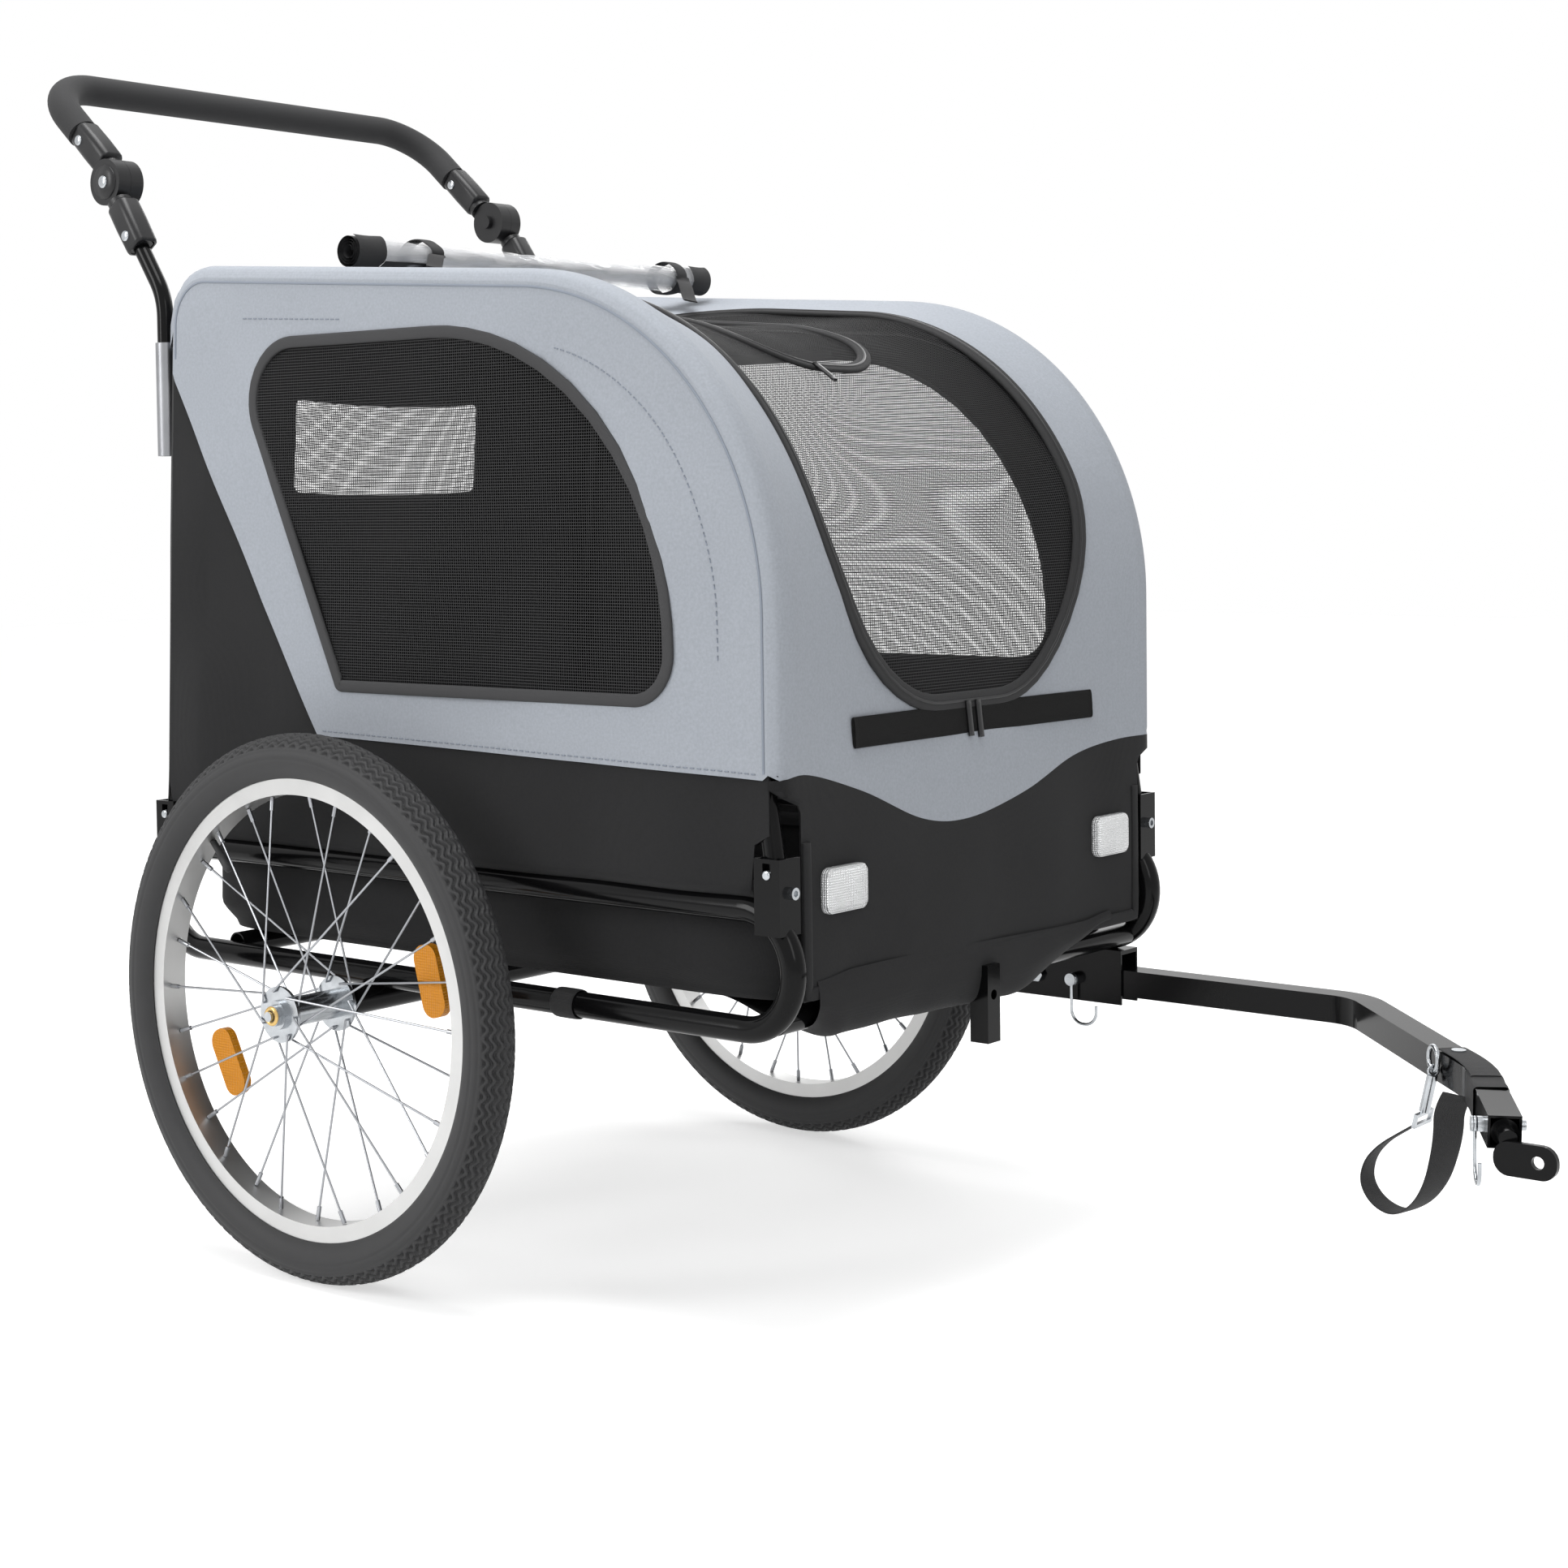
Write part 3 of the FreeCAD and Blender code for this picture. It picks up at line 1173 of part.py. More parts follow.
head_face = at(d.arm_pivot_forward, bracket_start, arm_height)
nut_face = head_face + Y_AXIS * (2 * bracket_half + 2 * d.tow_bracket_wall)
tow_bolt = fuse(
    "tow_bolt_body",
    cylinder("tow_bolt_shank", head_face, Y_AXIS, "tow_bolt_diameter / 2", bracket_span),
    prism("tow_bolt_nut", hexagon(head_face, Y_AXIS, d.tow_bolt_head_diameter), -Y_AXIS,
          "tow_bolt_head_length"),
    prism("tow_bolt_head", hexagon(nut_face, Y_AXIS, d.tow_bolt_head_diameter), Y_AXIS,
          "tow_bolt_head_length"),
)
make_node(tow_bolt, "tow_bolt")


def hitch_pin(label, wall_face, outward, length):
    """A headed pin whose head carries a wire bail. Gives the middle of the head."""
    shank = cylinder(label + "_shank", wall_face, -outward, "tow_pin_diameter / 2", length)
    head = cylinder(label + "_head", wall_face, outward, "tow_pin_head_diameter / 2", "tow_pin_head_length")
    neck_start = wall_face + outward * d.tow_pin_head_length
    neck = cylinder(label + "_neck", neck_start, outward,
                    "bail_eye_diameter / 2 - bail_wire / 2 - sliding_clearance",
                    "bail_wire + 2 * sliding_clearance")
    cap_start = neck_start + outward * (d.bail_wire + 2 * d.sliding_clearance)
    cap = cylinder(label + "_cap", cap_start, outward, "tow_pin_head_diameter / 2", "bail_wire / 2")
    make_node(fuse(label + "_body", shank, head, neck, cap), label)
    return neck_start + outward * (d.bail_wire / 2 + d.sliding_clearance)


def wire_bail(label, centre, axis, forward):
    """A wire loop that hangs from an eye round a pin's neck."""
    eye = torus(label + "_eye", centre, axis, "bail_eye_diameter / 2", "bail_wire / 2")
    top = centre - Z_AXIS * (d.bail_eye_diameter / 2)
    points = [
        top,
        top - Z_AXIS * d.bail_drop,
        top - Z_AXIS * d.bail_drop + forward * d.bail_width,
        top - Z_AXIS * (d.bail_drop / 2) + forward * d.bail_width,
    ]
    route = rounded_edges(points, [d.bail_width / 2 - d.bail_wire / 3] * 2)
    spine = solid_feature(label + "_route", Part.Wire(route))
    hoop_wire = sweep(label + "_wire", spine, top, -Z_AXIS, "bail_wire / 2")
    make_node(fuse(label + "_body", eye, hoop_wire), label)


tow_pin_face = at(d.arm_pin_forward, bracket_start - d.running_clearance, arm_height)
tow_pin_neck = hitch_pin("tow_pin", tow_pin_face, -Y_AXIS, bracket_span + " + tow_pin_tip")
wire_bail("tow_pin_bail", tow_pin_neck, Y_AXIS, X_AXIS)

# Coupler, safety strap and its hardware
plug_start = arm_end - end_direction * d.coupler_plug_length
rod_end = arm_end + end_direction * d.coupler_rod_length
plate_low = rod_end - Vector(d.coupler_plate_set_back, d.coupler_plate_thickness / 2,
                             d.coupler_plate_height / 2 + d.coupler_plate_drop)
plate_corners = [plate_low + Vector(x * d.coupler_plate_length, 0, z * d.coupler_plate_height)
                 for x, z in ((0, 0), (1, 0), (1, 1), (0, 1))]
end_radius_share = 0.47
plate_radii = [d.coupler_plate_height * end_radius_share] * len(plate_corners)
plate = prism("coupler_plate", rounded_loop(plate_corners, plate_radii), Y_AXIS, "coupler_plate_thickness")
eye_centre = plate_low + Vector(d.coupler_plate_length - d.coupler_eye_inset, 0, d.coupler_plate_height / 2)
eye = cylinder("coupler_eye", eye_centre, Y_AXIS, "coupler_eye_diameter / 2", "coupler_plate_thickness")
coupler = cut(
    "coupler_drilled",
    fuse("coupler_body",
         cylinder("coupler_plug", plug_start, end_direction, "coupler_plug_diameter / 2",
                  "coupler_plug_length"),
         cylinder("coupler_rod", arm_end, end_direction, "coupler_rod_diameter / 2", "coupler_rod_length"),
         plate),
    eye, coupler_pin_hole)
make_node(coupler, "coupler")

coupler_pin_face = coupler_pin_centre + arm_sideways * (d.arm_width / 2 + d.running_clearance)
coupler_pin_neck = hitch_pin("coupler_pin", coupler_pin_face, arm_sideways, "arm_width + tow_pin_tip")
bail_forward = Vector(end_direction.x, end_direction.y, 0).normalize()
wire_bail("coupler_pin_bail", coupler_pin_neck, arm_sideways, bail_forward)

wrap_corner = arm_second + end_direction * d.strap_wrap_start
wrap_half = d.arm_width / 2 + d.running_clearance


def wrap_box(name, half, width):
    corner = wrap_corner + end_turn.multVec(Vector(0, -half, -half))
    return box(name, corner, "strap_wrap_length", width, width, end_turn)


wrap = cut("strap_wrap_ring",
           wrap_box("strap_wrap_outside", wrap_half + d.strap_thickness,
                    "arm_width + 2 * running_clearance + 2 * strap_thickness"),
           wrap_box("strap_wrap_inside", wrap_half, "arm_width + 2 * running_clearance"))
make_node(wrap, "strap_wrap")

bolt_top = strap_bolt_centre + middle_up * (d.arm_width / 2)
bolt_bottom = strap_bolt_centre - middle_up * (d.arm_width / 2)
strap_bolt = fuse(
    "strap_bolt_body",
    cylinder("strap_bolt_shank", bolt_bottom, middle_up, "strap_bolt_diameter / 2", "arm_width"),
    cylinder("strap_bolt_head", bolt_top, middle_up, "strap_bolt_head_diameter / 2",
             "strap_bolt_head_length"),
    cylinder("strap_bolt_nut", bolt_bottom, -middle_up, "strap_bolt_head_diameter / 2",
             "strap_bolt_head_length"))
make_node(strap_bolt, "strap_bolt")

ring_centre = (arm_second - middle_direction * d.ring_inset + Z_AXIS * d.ring_rise
               + middle_sideways * (d.arm_width / 2 + d.ring_stand_off + d.ring_wire / 2))
ring = torus("ring_wire", ring_centre, middle_sideways, "ring_diameter / 2", "ring_wire / 2")
make_node(ring, "d_ring")

hook_centre = ring_centre - Z_AXIS * (d.ring_diameter / 2)
hook_axis = Vector(middle_direction.x, middle_direction.y, 0).normalize()
hook_turn = Rotation(Y_AXIS, d.hook_lean)
hook_down = hook_turn.multVec(-Z_AXIS)
body_top = hook_centre + hook_down * (d.hook_ring_diameter / 2)
body_bottom = body_top + hook_down * d.hook_body_length


def hook_point(x, y, z):
    """A point counted from the lower end of the hook's body, leaning with the hook."""
    return body_bottom + hook_turn.multVec(Vector(x, y, z))


frame_corner = hook_point(-d.hook_wire / 2, -d.hook_frame_width / 2, -d.hook_frame_height)
frame_outside = box("hook_frame_outside", frame_corner, "hook_wire", "hook_frame_width", "hook_frame_height",
                    hook_turn)
frame_hole_corner = hook_point(-d.hook_wire, d.hook_wire - d.hook_frame_width / 2,
                               d.hook_wire - d.hook_frame_height)
frame_hole = box("hook_frame_hole", frame_hole_corner, "2 * hook_wire", "hook_frame_width - 2 * hook_wire",
                 "hook_frame_height - 2 * hook_wire", hook_turn)
snap_hook = fuse(
    "snap_hook_body",
    torus("hook_ring", hook_centre, hook_axis, "hook_ring_diameter / 2", "hook_wire / 2"),
    cylinder("hook_stem", body_top, hook_down, "hook_body_diameter / 2", "hook_body_length"),
    cut("hook_frame", frame_outside, frame_hole))
make_node(snap_hook, "snap_hook")

# The safety strap hangs from the arm and comes back up to the hook's frame
strap_route = [
    at(906.2, 57.2, 213),
    at(898, 60, 200),
    at(896, 64, 182),
    at(891, 68, 162),
    at(882, 72, 136),
    at(867, 76, 115),
    at(846, 81, 102),
    at(824, 86, 107),
    at(810, 91, 122),
    at(811, 96, 140),
    at(822, 99, 152),
    at(836, 101, 159),
    at(848, 102, 162),
]
bend_share = 0.45
strap_radii = []
for before, corner, after in zip(strap_route, strap_route[1:], strap_route[2:]):
    half_turn = (corner - before).getAngle(after - corner) / 2
    shorter = min((corner - before).Length, (after - corner).Length)
    strap_radii.append(bend_share * shorter / math.tan(half_turn))
strap_wire = Part.Wire(rounded_edges(strap_route, strap_radii))
strap_across = Y_AXIS * (d.strap_width / 2)
strap_through = (strap_route[1] - strap_route[0]).cross(Y_AXIS).normalize() * (d.strap_thickness / 2)
strap_corners = [strap_route[0] + strap_across * a + strap_through * b
                 for a, b in ((-1, -1), (1, -1), (1, 1), (-1, 1), (-1, -1))]
shell = Part.BRepOffsetAPI.MakePipeShell(strap_wire)
shell.setBiNormalMode(Y_AXIS)
shell.add(Part.makePolygon(strap_corners))
shell.build()
shell.makeSolid()
make_node(solid_feature("strap_band", shell.shape()), "safety_strap")


# Check and write

doc.recompute()
for obj in doc.Objects:
    if "Invalid" in obj.State or "Error" in obj.State:
        raise RuntimeError(f"{obj.Name} failed: {obj.State}")
for obj in nodes:
    if obj.Shape.isNull() or not obj.Shape.isValid():
        raise RuntimeError(f"{obj.Label} has no valid shape")
os.makedirs("parts", exist_ok=True)
for obj in nodes:
    obj.Shape.exportStep(f"parts/{obj.Label}.step")
print(len(nodes), "pieces written")
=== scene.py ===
"""Looks for the dog bike trailer: studio picture, cloth cover, mesh windows, tyres, straps and fittings."""

import math

import bpy
import numpy as np
from mathutils import Matrix, Vector, noise


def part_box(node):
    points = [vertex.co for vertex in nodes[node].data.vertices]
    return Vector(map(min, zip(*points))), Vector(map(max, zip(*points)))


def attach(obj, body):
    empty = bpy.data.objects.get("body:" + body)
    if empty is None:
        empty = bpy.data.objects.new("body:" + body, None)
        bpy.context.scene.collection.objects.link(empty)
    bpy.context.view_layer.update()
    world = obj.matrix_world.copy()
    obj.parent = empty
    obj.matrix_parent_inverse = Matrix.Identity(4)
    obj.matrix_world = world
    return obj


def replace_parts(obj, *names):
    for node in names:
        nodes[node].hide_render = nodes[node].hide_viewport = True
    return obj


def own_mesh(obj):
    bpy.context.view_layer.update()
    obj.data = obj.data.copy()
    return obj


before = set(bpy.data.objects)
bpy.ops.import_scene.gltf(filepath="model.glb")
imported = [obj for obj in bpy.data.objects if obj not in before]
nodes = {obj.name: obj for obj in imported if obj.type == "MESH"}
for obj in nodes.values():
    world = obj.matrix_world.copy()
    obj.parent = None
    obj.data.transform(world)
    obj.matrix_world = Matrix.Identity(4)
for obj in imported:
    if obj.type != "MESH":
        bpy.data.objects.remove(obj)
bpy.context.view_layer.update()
scene = bpy.context.scene
SIDES = (("right", -1), ("left", 1))

axle_low, axle_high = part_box("axle_tube")
AXLE_X = (axle_low.x + axle_high.x) / 2


def at(x, y, z):
    """A point in metres, with x counted forward from the wheels' axle."""
    return np.array([AXLE_X + x, y, z], float)


# Materials

def shader_of(made):
    return made.node_tree.nodes["Principled BSDF"]


def material(name, colour, roughness, metallic=0.0, specular=0.5, coat=0.0):
    made = bpy.data.materials.new(name)
    made.use_nodes = True
    values = {"Base Color": (*colour, 1), "Roughness": roughness, "Metallic": metallic,
              "Specular IOR Level": specular, "Coat Weight": coat}
    for socket, value in values.items():
        shader_of(made).inputs[socket].default_value = value
    return made


def object_coordinates(made):
    return made.node_tree.nodes.new("ShaderNodeTexCoord").outputs["Object"]


def noise_texture(made, scale, detail):
    texture = made.node_tree.nodes.new("ShaderNodeTexNoise")
    texture.inputs["Scale"].default_value = scale
    texture.inputs["Detail"].default_value = detail
    made.node_tree.links.new(object_coordinates(made), texture.inputs["Vector"])
    return texture.outputs["Fac"]


def math_node(tree, operation, first, second=None):
    """A sum on one socket, or on a socket and a second socket or plain number."""
    made = tree.nodes.new("ShaderNodeMath")
    made.operation = operation
    tree.links.new(first, made.inputs[0])
    if isinstance(second, float):
        made.inputs[1].default_value = second
    elif second is not None:
        tree.links.new(second, made.inputs[1])
    return made.outputs[0]


def map_range(tree, value, low, high):
    """A socket that runs from low to high as a value runs from zero to one."""
    made = tree.nodes.new("ShaderNodeMapRange")
    made.inputs["To Min"].default_value = low
    made.inputs["To Max"].default_value = high
    tree.links.new(value, made.inputs["Value"])
    return made.outputs["Result"]


def add_mottle(made, scale, low_share, high_share, roughness_spread=0.0):
    """Uneven shade over a surface, as shares of its own colour."""
    tree = made.node_tree
    inputs = shader_of(made).inputs
    colour = inputs["Base Color"].default_value[:3]
    texture = noise_texture(made, scale, detail=6)
    ramp = tree.nodes.new("ShaderNodeValToRGB")
    stops = ((0.3, low_share), (0.7, high_share))
    for element, (position, share) in zip(ramp.color_ramp.elements, stops):
        element.position = position
        element.color = (*[min(1, c * share) for c in colour], 1)
    tree.links.new(texture, ramp.inputs["Fac"])
    tree.links.new(ramp.outputs["Color"], inputs["Base Color"])
    if roughness_spread:
        middle = inputs["Roughness"].default_value
        spread = map_range(tree, texture, middle - roughness_spread, middle + roughness_spread)
        tree.links.new(spread, inputs["Roughness"])
    return made


def add_bump(made, kind, scale, strength, depth):
    """A fine relief: kind is noise or weave."""
    tree = made.node_tree
    bump = tree.nodes.new("ShaderNodeBump")
    bump.inputs["Strength"].default_value = strength
    bump.inputs["Distance"].default_value = depth
    if kind == "noise":
        height = noise_texture(made, scale, detail=4)
    else:
        waves = []
        for direction in ("X", "Y", "Z"):
            wave = tree.nodes.new("ShaderNodeTexWave")
            wave.bands_direction = direction
            wave.inputs["Scale"].default_value = scale
            tree.links.new(object_coordinates(made), wave.inputs["Vector"])
            waves.append(wave.outputs["Fac"])
        height = math_node(tree, "ADD", math_node(tree, "ADD", waves[0], waves[1]), waves[2])
    tree.links.new(height, bump.inputs["Height"])
    tree.links.new(bump.outputs["Normal"], shader_of(made).inputs["Normal"])
    return made


def cloth_material(name, colour):
    made = material(name, colour, roughness=0.86, specular=0.2)
    shader_of(made).inputs["Sheen Weight"].default_value = 0.08
    shader_of(made).inputs["Sheen Roughness"].default_value = 0.5
    add_mottle(made, scale=420, low_share=0.93, high_share=1.06)
    return add_bump(made, "weave", scale=420, strength=0.25, depth=0.0004)


def mesh_material(name, colour, pitch, thread_share):
    """Open netting: threads on a square grid over the sheet's flat points, clear holes between."""
    made = material(name, colour, roughness=0.75)
    tree = made.node_tree
    flat = tree.nodes.new("ShaderNodeSeparateXYZ")
    tree.links.new(tree.nodes.new("ShaderNodeUVMap").outputs["UV"], flat.inputs["Vector"])
    threads = []
    for axis in ("X", "Y"):
        repeat = math_node(tree, "FRACT", math_node(tree, "DIVIDE", flat.outputs[axis], pitch))
        threads.append(math_node(tree, "LESS_THAN", repeat, thread_share))
    tree.links.new(math_node(tree, "MAXIMUM", *threads), shader_of(made).inputs["Alpha"])
    return made


GREY = cloth_material("grey_cloth", (0.395, 0.422, 0.465))
BLACK = cloth_material("black_cloth", (0.015, 0.015, 0.0158))
LINING = material("lining", (0.010, 0.010, 0.011), 0.9)
BINDING = add_bump(material("binding", (0.018, 0.018, 0.019), 0.8), "weave", 900, 0.4, 0.0003)
EDGING = add_bump(material("window_edging", (0.045, 0.045, 0.047), 0.8), "weave", 900, 0.4, 0.0003)
WEBBING = add_bump(material("webbing", (0.013, 0.013, 0.014), 0.7), "weave", 380, 0.7, 0.0006)
NETTING = mesh_material("netting", (0.014, 0.014, 0.015), pitch=0.0026, thread_share=0.25)
PAINT = material("black_paint", (0.004, 0.004, 0.0043), 0.15, specular=0.14)
add_bump(PAINT, "noise", 160, 0.05, 0.0006)
PLASTIC = material("black_plastic", (0.012, 0.012, 0.013), 0.36, specular=0.35)
add_bump(PLASTIC, "noise", 900, 0.12, 0.0003)
FOAM = add_bump(material("foam", (0.024, 0.024, 0.025), 0.82), "noise", 1500, 0.35, 0.0006)
RUBBER = add_mottle(material("rubber", (0.020, 0.020, 0.021), 0.62), 60, 0.85, 1.2, 0.06)
ALLOY = add_mottle(material("rim_alloy", (0.56, 0.56, 0.555), 0.40, 1.0), 25, 0.95, 1.03, 0.05)
ZINC = add_mottle(material("zinc", (0.45, 0.47, 0.49), 0.24, 1.0), 90, 0.82, 1.1, 0.06)
SPOKE = material("spoke_steel", (0.36, 0.37, 0.39), 0.28, 1.0)
SLEEVE = add_mottle(material("sleeve_steel", (0.30, 0.305, 0.32), 0.36, 1.0), 40, 0.92, 1.06, 0.04)
BRASS = material("brass", (0.62, 0.42, 0.16), 0.3, 1.0)
AMBER = add_bump(material("amber_lens", (0.72, 0.27, 0.006), 0.3, specular=0.3), "weave", 130, 0.5, 0.0008)
LENS = material("clear_lens", (0.88, 0.89, 0.90), 0.14, metallic=0.35, coat=1.0)
add_bump(LENS, "weave", 150, 0.9, 0.0012)
VINYL = material("clear_vinyl", (0.72, 0.73, 0.75), 0.10, specular=0.9, coat=1.0)
shader_of(VINYL).inputs["Alpha"].default_value = 0.30
shader_of(VINYL).inputs["Coat Roughness"].default_value = 0.05
HOOK_TAPE = material("hook_tape", (0.007, 0.007, 0.007), 0.95, specular=0.25)
add_bump(HOOK_TAPE, "noise", 1400, 1.0, 0.0015)
THREAD = material("thread", (0.26, 0.29, 0.34), 0.8)
BOARD = add_bump(material("floor_board", (0.02, 0.02, 0.021), 0.6), "noise", 300, 0.2, 0.0004)

# Nodes by look. A star stands for both sides.
CAD_LOOKS = {
    PAINT: ("*_loop_frame front_cross_tube rear_cross_tube axle_tube front_socket tow_arm tow_bracket coupler"
            " handle_base_tubes handle_bar *_hoop *_hinge_brackets"),
    ZINC: ("pivot_bolts tow_bolt tow_pin tow_pin_bail coupler_pin coupler_pin_bail strap_bolt d_ring"
           " snap_hook *_lock_buttons *_axle_button *_axle *_hub"),
    SPOKE: "*_spokes",
    SLEEVE: "handle_sleeves",
    ALLOY: "*_rim",
    FOAM: "foam_grip",
    PLASTIC: "handle_lower_hinges handle_upper_hinges *_handle_button",
    AMBER: "*_wheel_reflectors",
    LENS: "front_reflectors",
    BOARD: "floor_board",
    RUBBER: "*_tyre",
    GREY: "*_side_panel canopy",
    BLACK: "rear_panel tub",
    WEBBING: "strap_wrap safety_strap",
    NETTING: "front_mesh_door *_mesh rear_mesh",
    VINYL: "rain_cover",
}
CREASE_ANGLE = math.radians(35)
for look, patterns in CAD_LOOKS.items():
    for pattern in patterns.split():
        for name in {pattern.replace("*", side_name) for side_name, _ in SIDES}:
            node = nodes[name]
            node.data.materials.clear()
            node.data.materials.append(look)
            node.data.shade_smooth()
            node.modifiers.new("crease", "EDGE_SPLIT").split_angle = CREASE_ANGLE


# Mesh making

def mesh_object(name, verts, faces, look, body="chassis", uvs=None, smooth=True):
    data = bpy.data.meshes.new(name)
    data.from_pydata([tuple(v) for v in verts], [], [tuple(int(i) for i in f) for f in faces])
    data.validate()
    data.update()
    if uvs is not None:
        layer = data.uv_layers.new(name="UVMap")
        for loop in data.loops:
            layer.data[loop.index].uv = uvs[loop.vertex_index]
    if smooth:
        data.shade_smooth()
    data.materials.append(look)
    made = bpy.data.objects.new(name, data)
    scene.collection.objects.link(made)
    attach(made, body)
    return made


def grid_faces(rows, columns, closed=False, flip=False, ring=False):
    """Quads over rows of points. A closed grid joins its last column to its first, a ring its last row."""
    faces = []
    for row in range(rows if ring else rows - 1):
        below = (row + 1) % rows
        for column in range(columns if closed else columns - 1):
            across = (column + 1) % columns
            quad = (row * columns + column, row * columns + across,
                    below * columns + across, below * columns + column)
            faces.append(quad[::-1] if flip else quad)
    return faces


def stacked(lines):
    """Lines of equal length as one net: points, rows, columns."""
    return np.vstack(lines), len(lines), len(lines[0])


def lofted(name, lines, look, body="chassis", flip=False, smooth=True):
    """A skin over closed lines of points."""
    verts, rows, columns = stacked(lines)
    return mesh_object(name, verts, grid_faces(rows, columns, True, flip), look, body, smooth=smooth)


def unit(vectors):
    return vectors / np.linalg.norm(vectors, axis=-1, keepdims=True)


def full_turn(count):
    return np.linspace(0, 2 * math.pi, count, endpoint=False)


def bulged(values, power):
    """A power that keeps each value's sign. It squares off a circle."""
    return np.sign(values) * np.abs(values) ** power


def ease(share):
    share = np.clip(share, 0, 1)
    return share * share * (3 - 2 * share)


def distances(line):
    """Distance along a line to each of its points."""
    return np.concatenate([[0], np.cumsum(np.linalg.norm(np.diff(line, axis=0), axis=1))])


def interpolated(places, run, values):
    return np.column_stack([np.interp(places, run, column) for column in values.T])


def rounded(points, radii, steps=14):
    """A closed outline as a dense run of points, each corner with its own radius."""
    points = [np.array(p, float) for p in points]
    outline = []
    for index, (corner, radius) in enumerate(zip(points, radii)):
        if radius == 0:
            outline.append(corner)
            continue
        incoming = unit(corner - points[index - 1])
        outgoing = unit(points[(index + 1) % len(points)] - corner)
        half_turn = math.acos(np.clip(incoming @ outgoing, -1, 1)) / 2
        tangent = radius * math.tan(half_turn)
        centre = corner + unit(outgoing - incoming) * radius / math.cos(half_turn)
        start = corner - incoming * tangent - centre
        end = corner + outgoing * tangent - centre
        for share in np.linspace(0, 1, steps + 1):
            outline.append(centre + unit(start * (1 - share) + end * share) * radius)
    return np.array(outline)


def rounded_box(low, high, radius, steps=14):
    """A rectangle between two corners, with one radius or four."""
    corners = [(low[0], low[1]), (high[0], low[1]), (high[0], high[1]), (low[0], high[1])]
    return rounded(corners, np.broadcast_to(radius, 4), steps)


def dense(points, step, closed=True):
    """The same line with points no further apart than a step."""
    points = np.array(points, float)
    if closed:
        points = np.vstack([points, points[:1]])
    out = []
    for a, b in zip(points, points[1:]):
        count = max(1, int(math.ceil(np.linalg.norm(b - a) / step)))
        out += [a + (b - a) * i / count for i in range(count)]
    if not closed:
        out.append(points[-1])
    return np.array(out)


def smooth_line(points, steps=8):
    """A line that bends gently through its points."""
    points = np.array(points, float)
    padded = np.vstack([2 * points[0] - points[1], points, 2 * points[-1] - points[-2]])
    out = []
    for before, start, end, after in zip(padded, padded[1:], padded[2:], padded[3:]):
        for t in np.linspace(0, 1, steps, endpoint=False):
            bend = 2 * start + (end - before) * t + (2 * before - 5 * start + 4 * end - after) * t ** 2
            out.append((bend + (3 * start - before - 3 * end + after) * t ** 3) / 2)
    return np.array(out + [points[-1]])


def by_angle(outline, centre, angles):
    """Points of a closed outline at given angles round a centre."""
    own = np.arctan2(outline[:, 1] - centre[1], outline[:, 0] - centre[0]) % (2 * math.pi)
    order = np.argsort(own)
    columns = [np.interp(angles, own[order], outline[order, k], period=2 * math.pi) for k in range(2)]
    return np.column_stack(columns)


def ring_patch(inner, outer, centre, steps, count=300):
    """A flat net of points between two outlines round one centre, with rows from inner to outer."""
    step = 0.003
    angles = full_turn(count)
    near = by_angle(dense(inner, step), centre, angles)
    far = by_angle(dense(outer, step), centre, angles)
    return stacked([near * (1 - share) + far * share for share in np.linspace(0, 1, steps + 1)])


def disc_patch(outline, centre, steps):
    """A flat net of points that fills an outline from its centre."""
    tiny_share = 0.001
    inner = np.array(centre) + (np.array(outline) - np.array(centre)) * tiny_share
    return ring_patch(inner, outline, centre, steps)


def band(points, normals, width, thickness, closed):
    """A flat strip along a line, with its width across the line in the surface. Gives points and faces."""
    points = np.array(points, float)
    normals = np.array(normals, float)
    if closed:
        run = np.roll(points, -1, 0) - np.roll(points, 1, 0)
    else:
        run = np.gradient(points, axis=0)
    sideways = unit(np.cross(normals, unit(run)))
    around, count = 12, len(points)
    angles = full_turn(around)
    wide = bulged(np.cos(angles), 0.5)[:, None] * width / 2
    thick = bulged(np.sin(angles), 0.7)[:, None] * thickness / 2
    verts = points[:, None] + sideways[:, None] * wide + normals[:, None] * thick
    faces = grid_faces(count, around, closed=True, ring=closed)
    if not closed:
        faces.append(tuple(range(around)))
        faces.append(tuple((count - 1) * around + k for k in reversed(range(around))))
    return verts.reshape(-1, 3), faces


def ribbon(name, points, normals, width, thickness, look, body="chassis", closed=False):
    verts, faces = band(points, normals, width, thickness, closed)
    return mesh_object(name, verts, faces, look, body)


def turned(name, base, axis, profile, look, body):
    """A round piece about an axis, from (radius, height) pairs along it."""
    axis = unit(np.array(axis, float))
    helper = np.array([0.0, 0.0, 1.0]) if abs(axis[2]) < 0.9 else np.array([1.0, 0.0, 0.0])
    first = unit(np.cross(axis, helper))
    angles = full_turn(28)
    circle = np.outer(np.cos(angles), first) + np.outer(np.sin(angles), np.cross(axis, first))
    lines = [np.array(base) + axis * height + circle * radius for radius, height in profile]
    return lofted(name, lines, look, body)


def dome(radius, height):
    """A low rounded head as (radius, height) pairs."""
    tiny = 0.00001
    turns = np.linspace(0, math.pi / 2, 6)
    rise = [(max(radius * math.cos(t), tiny), height * (0.4 + 0.6 * math.sin(t))) for t in turns]
    return [(radius, 0.0)] + rise


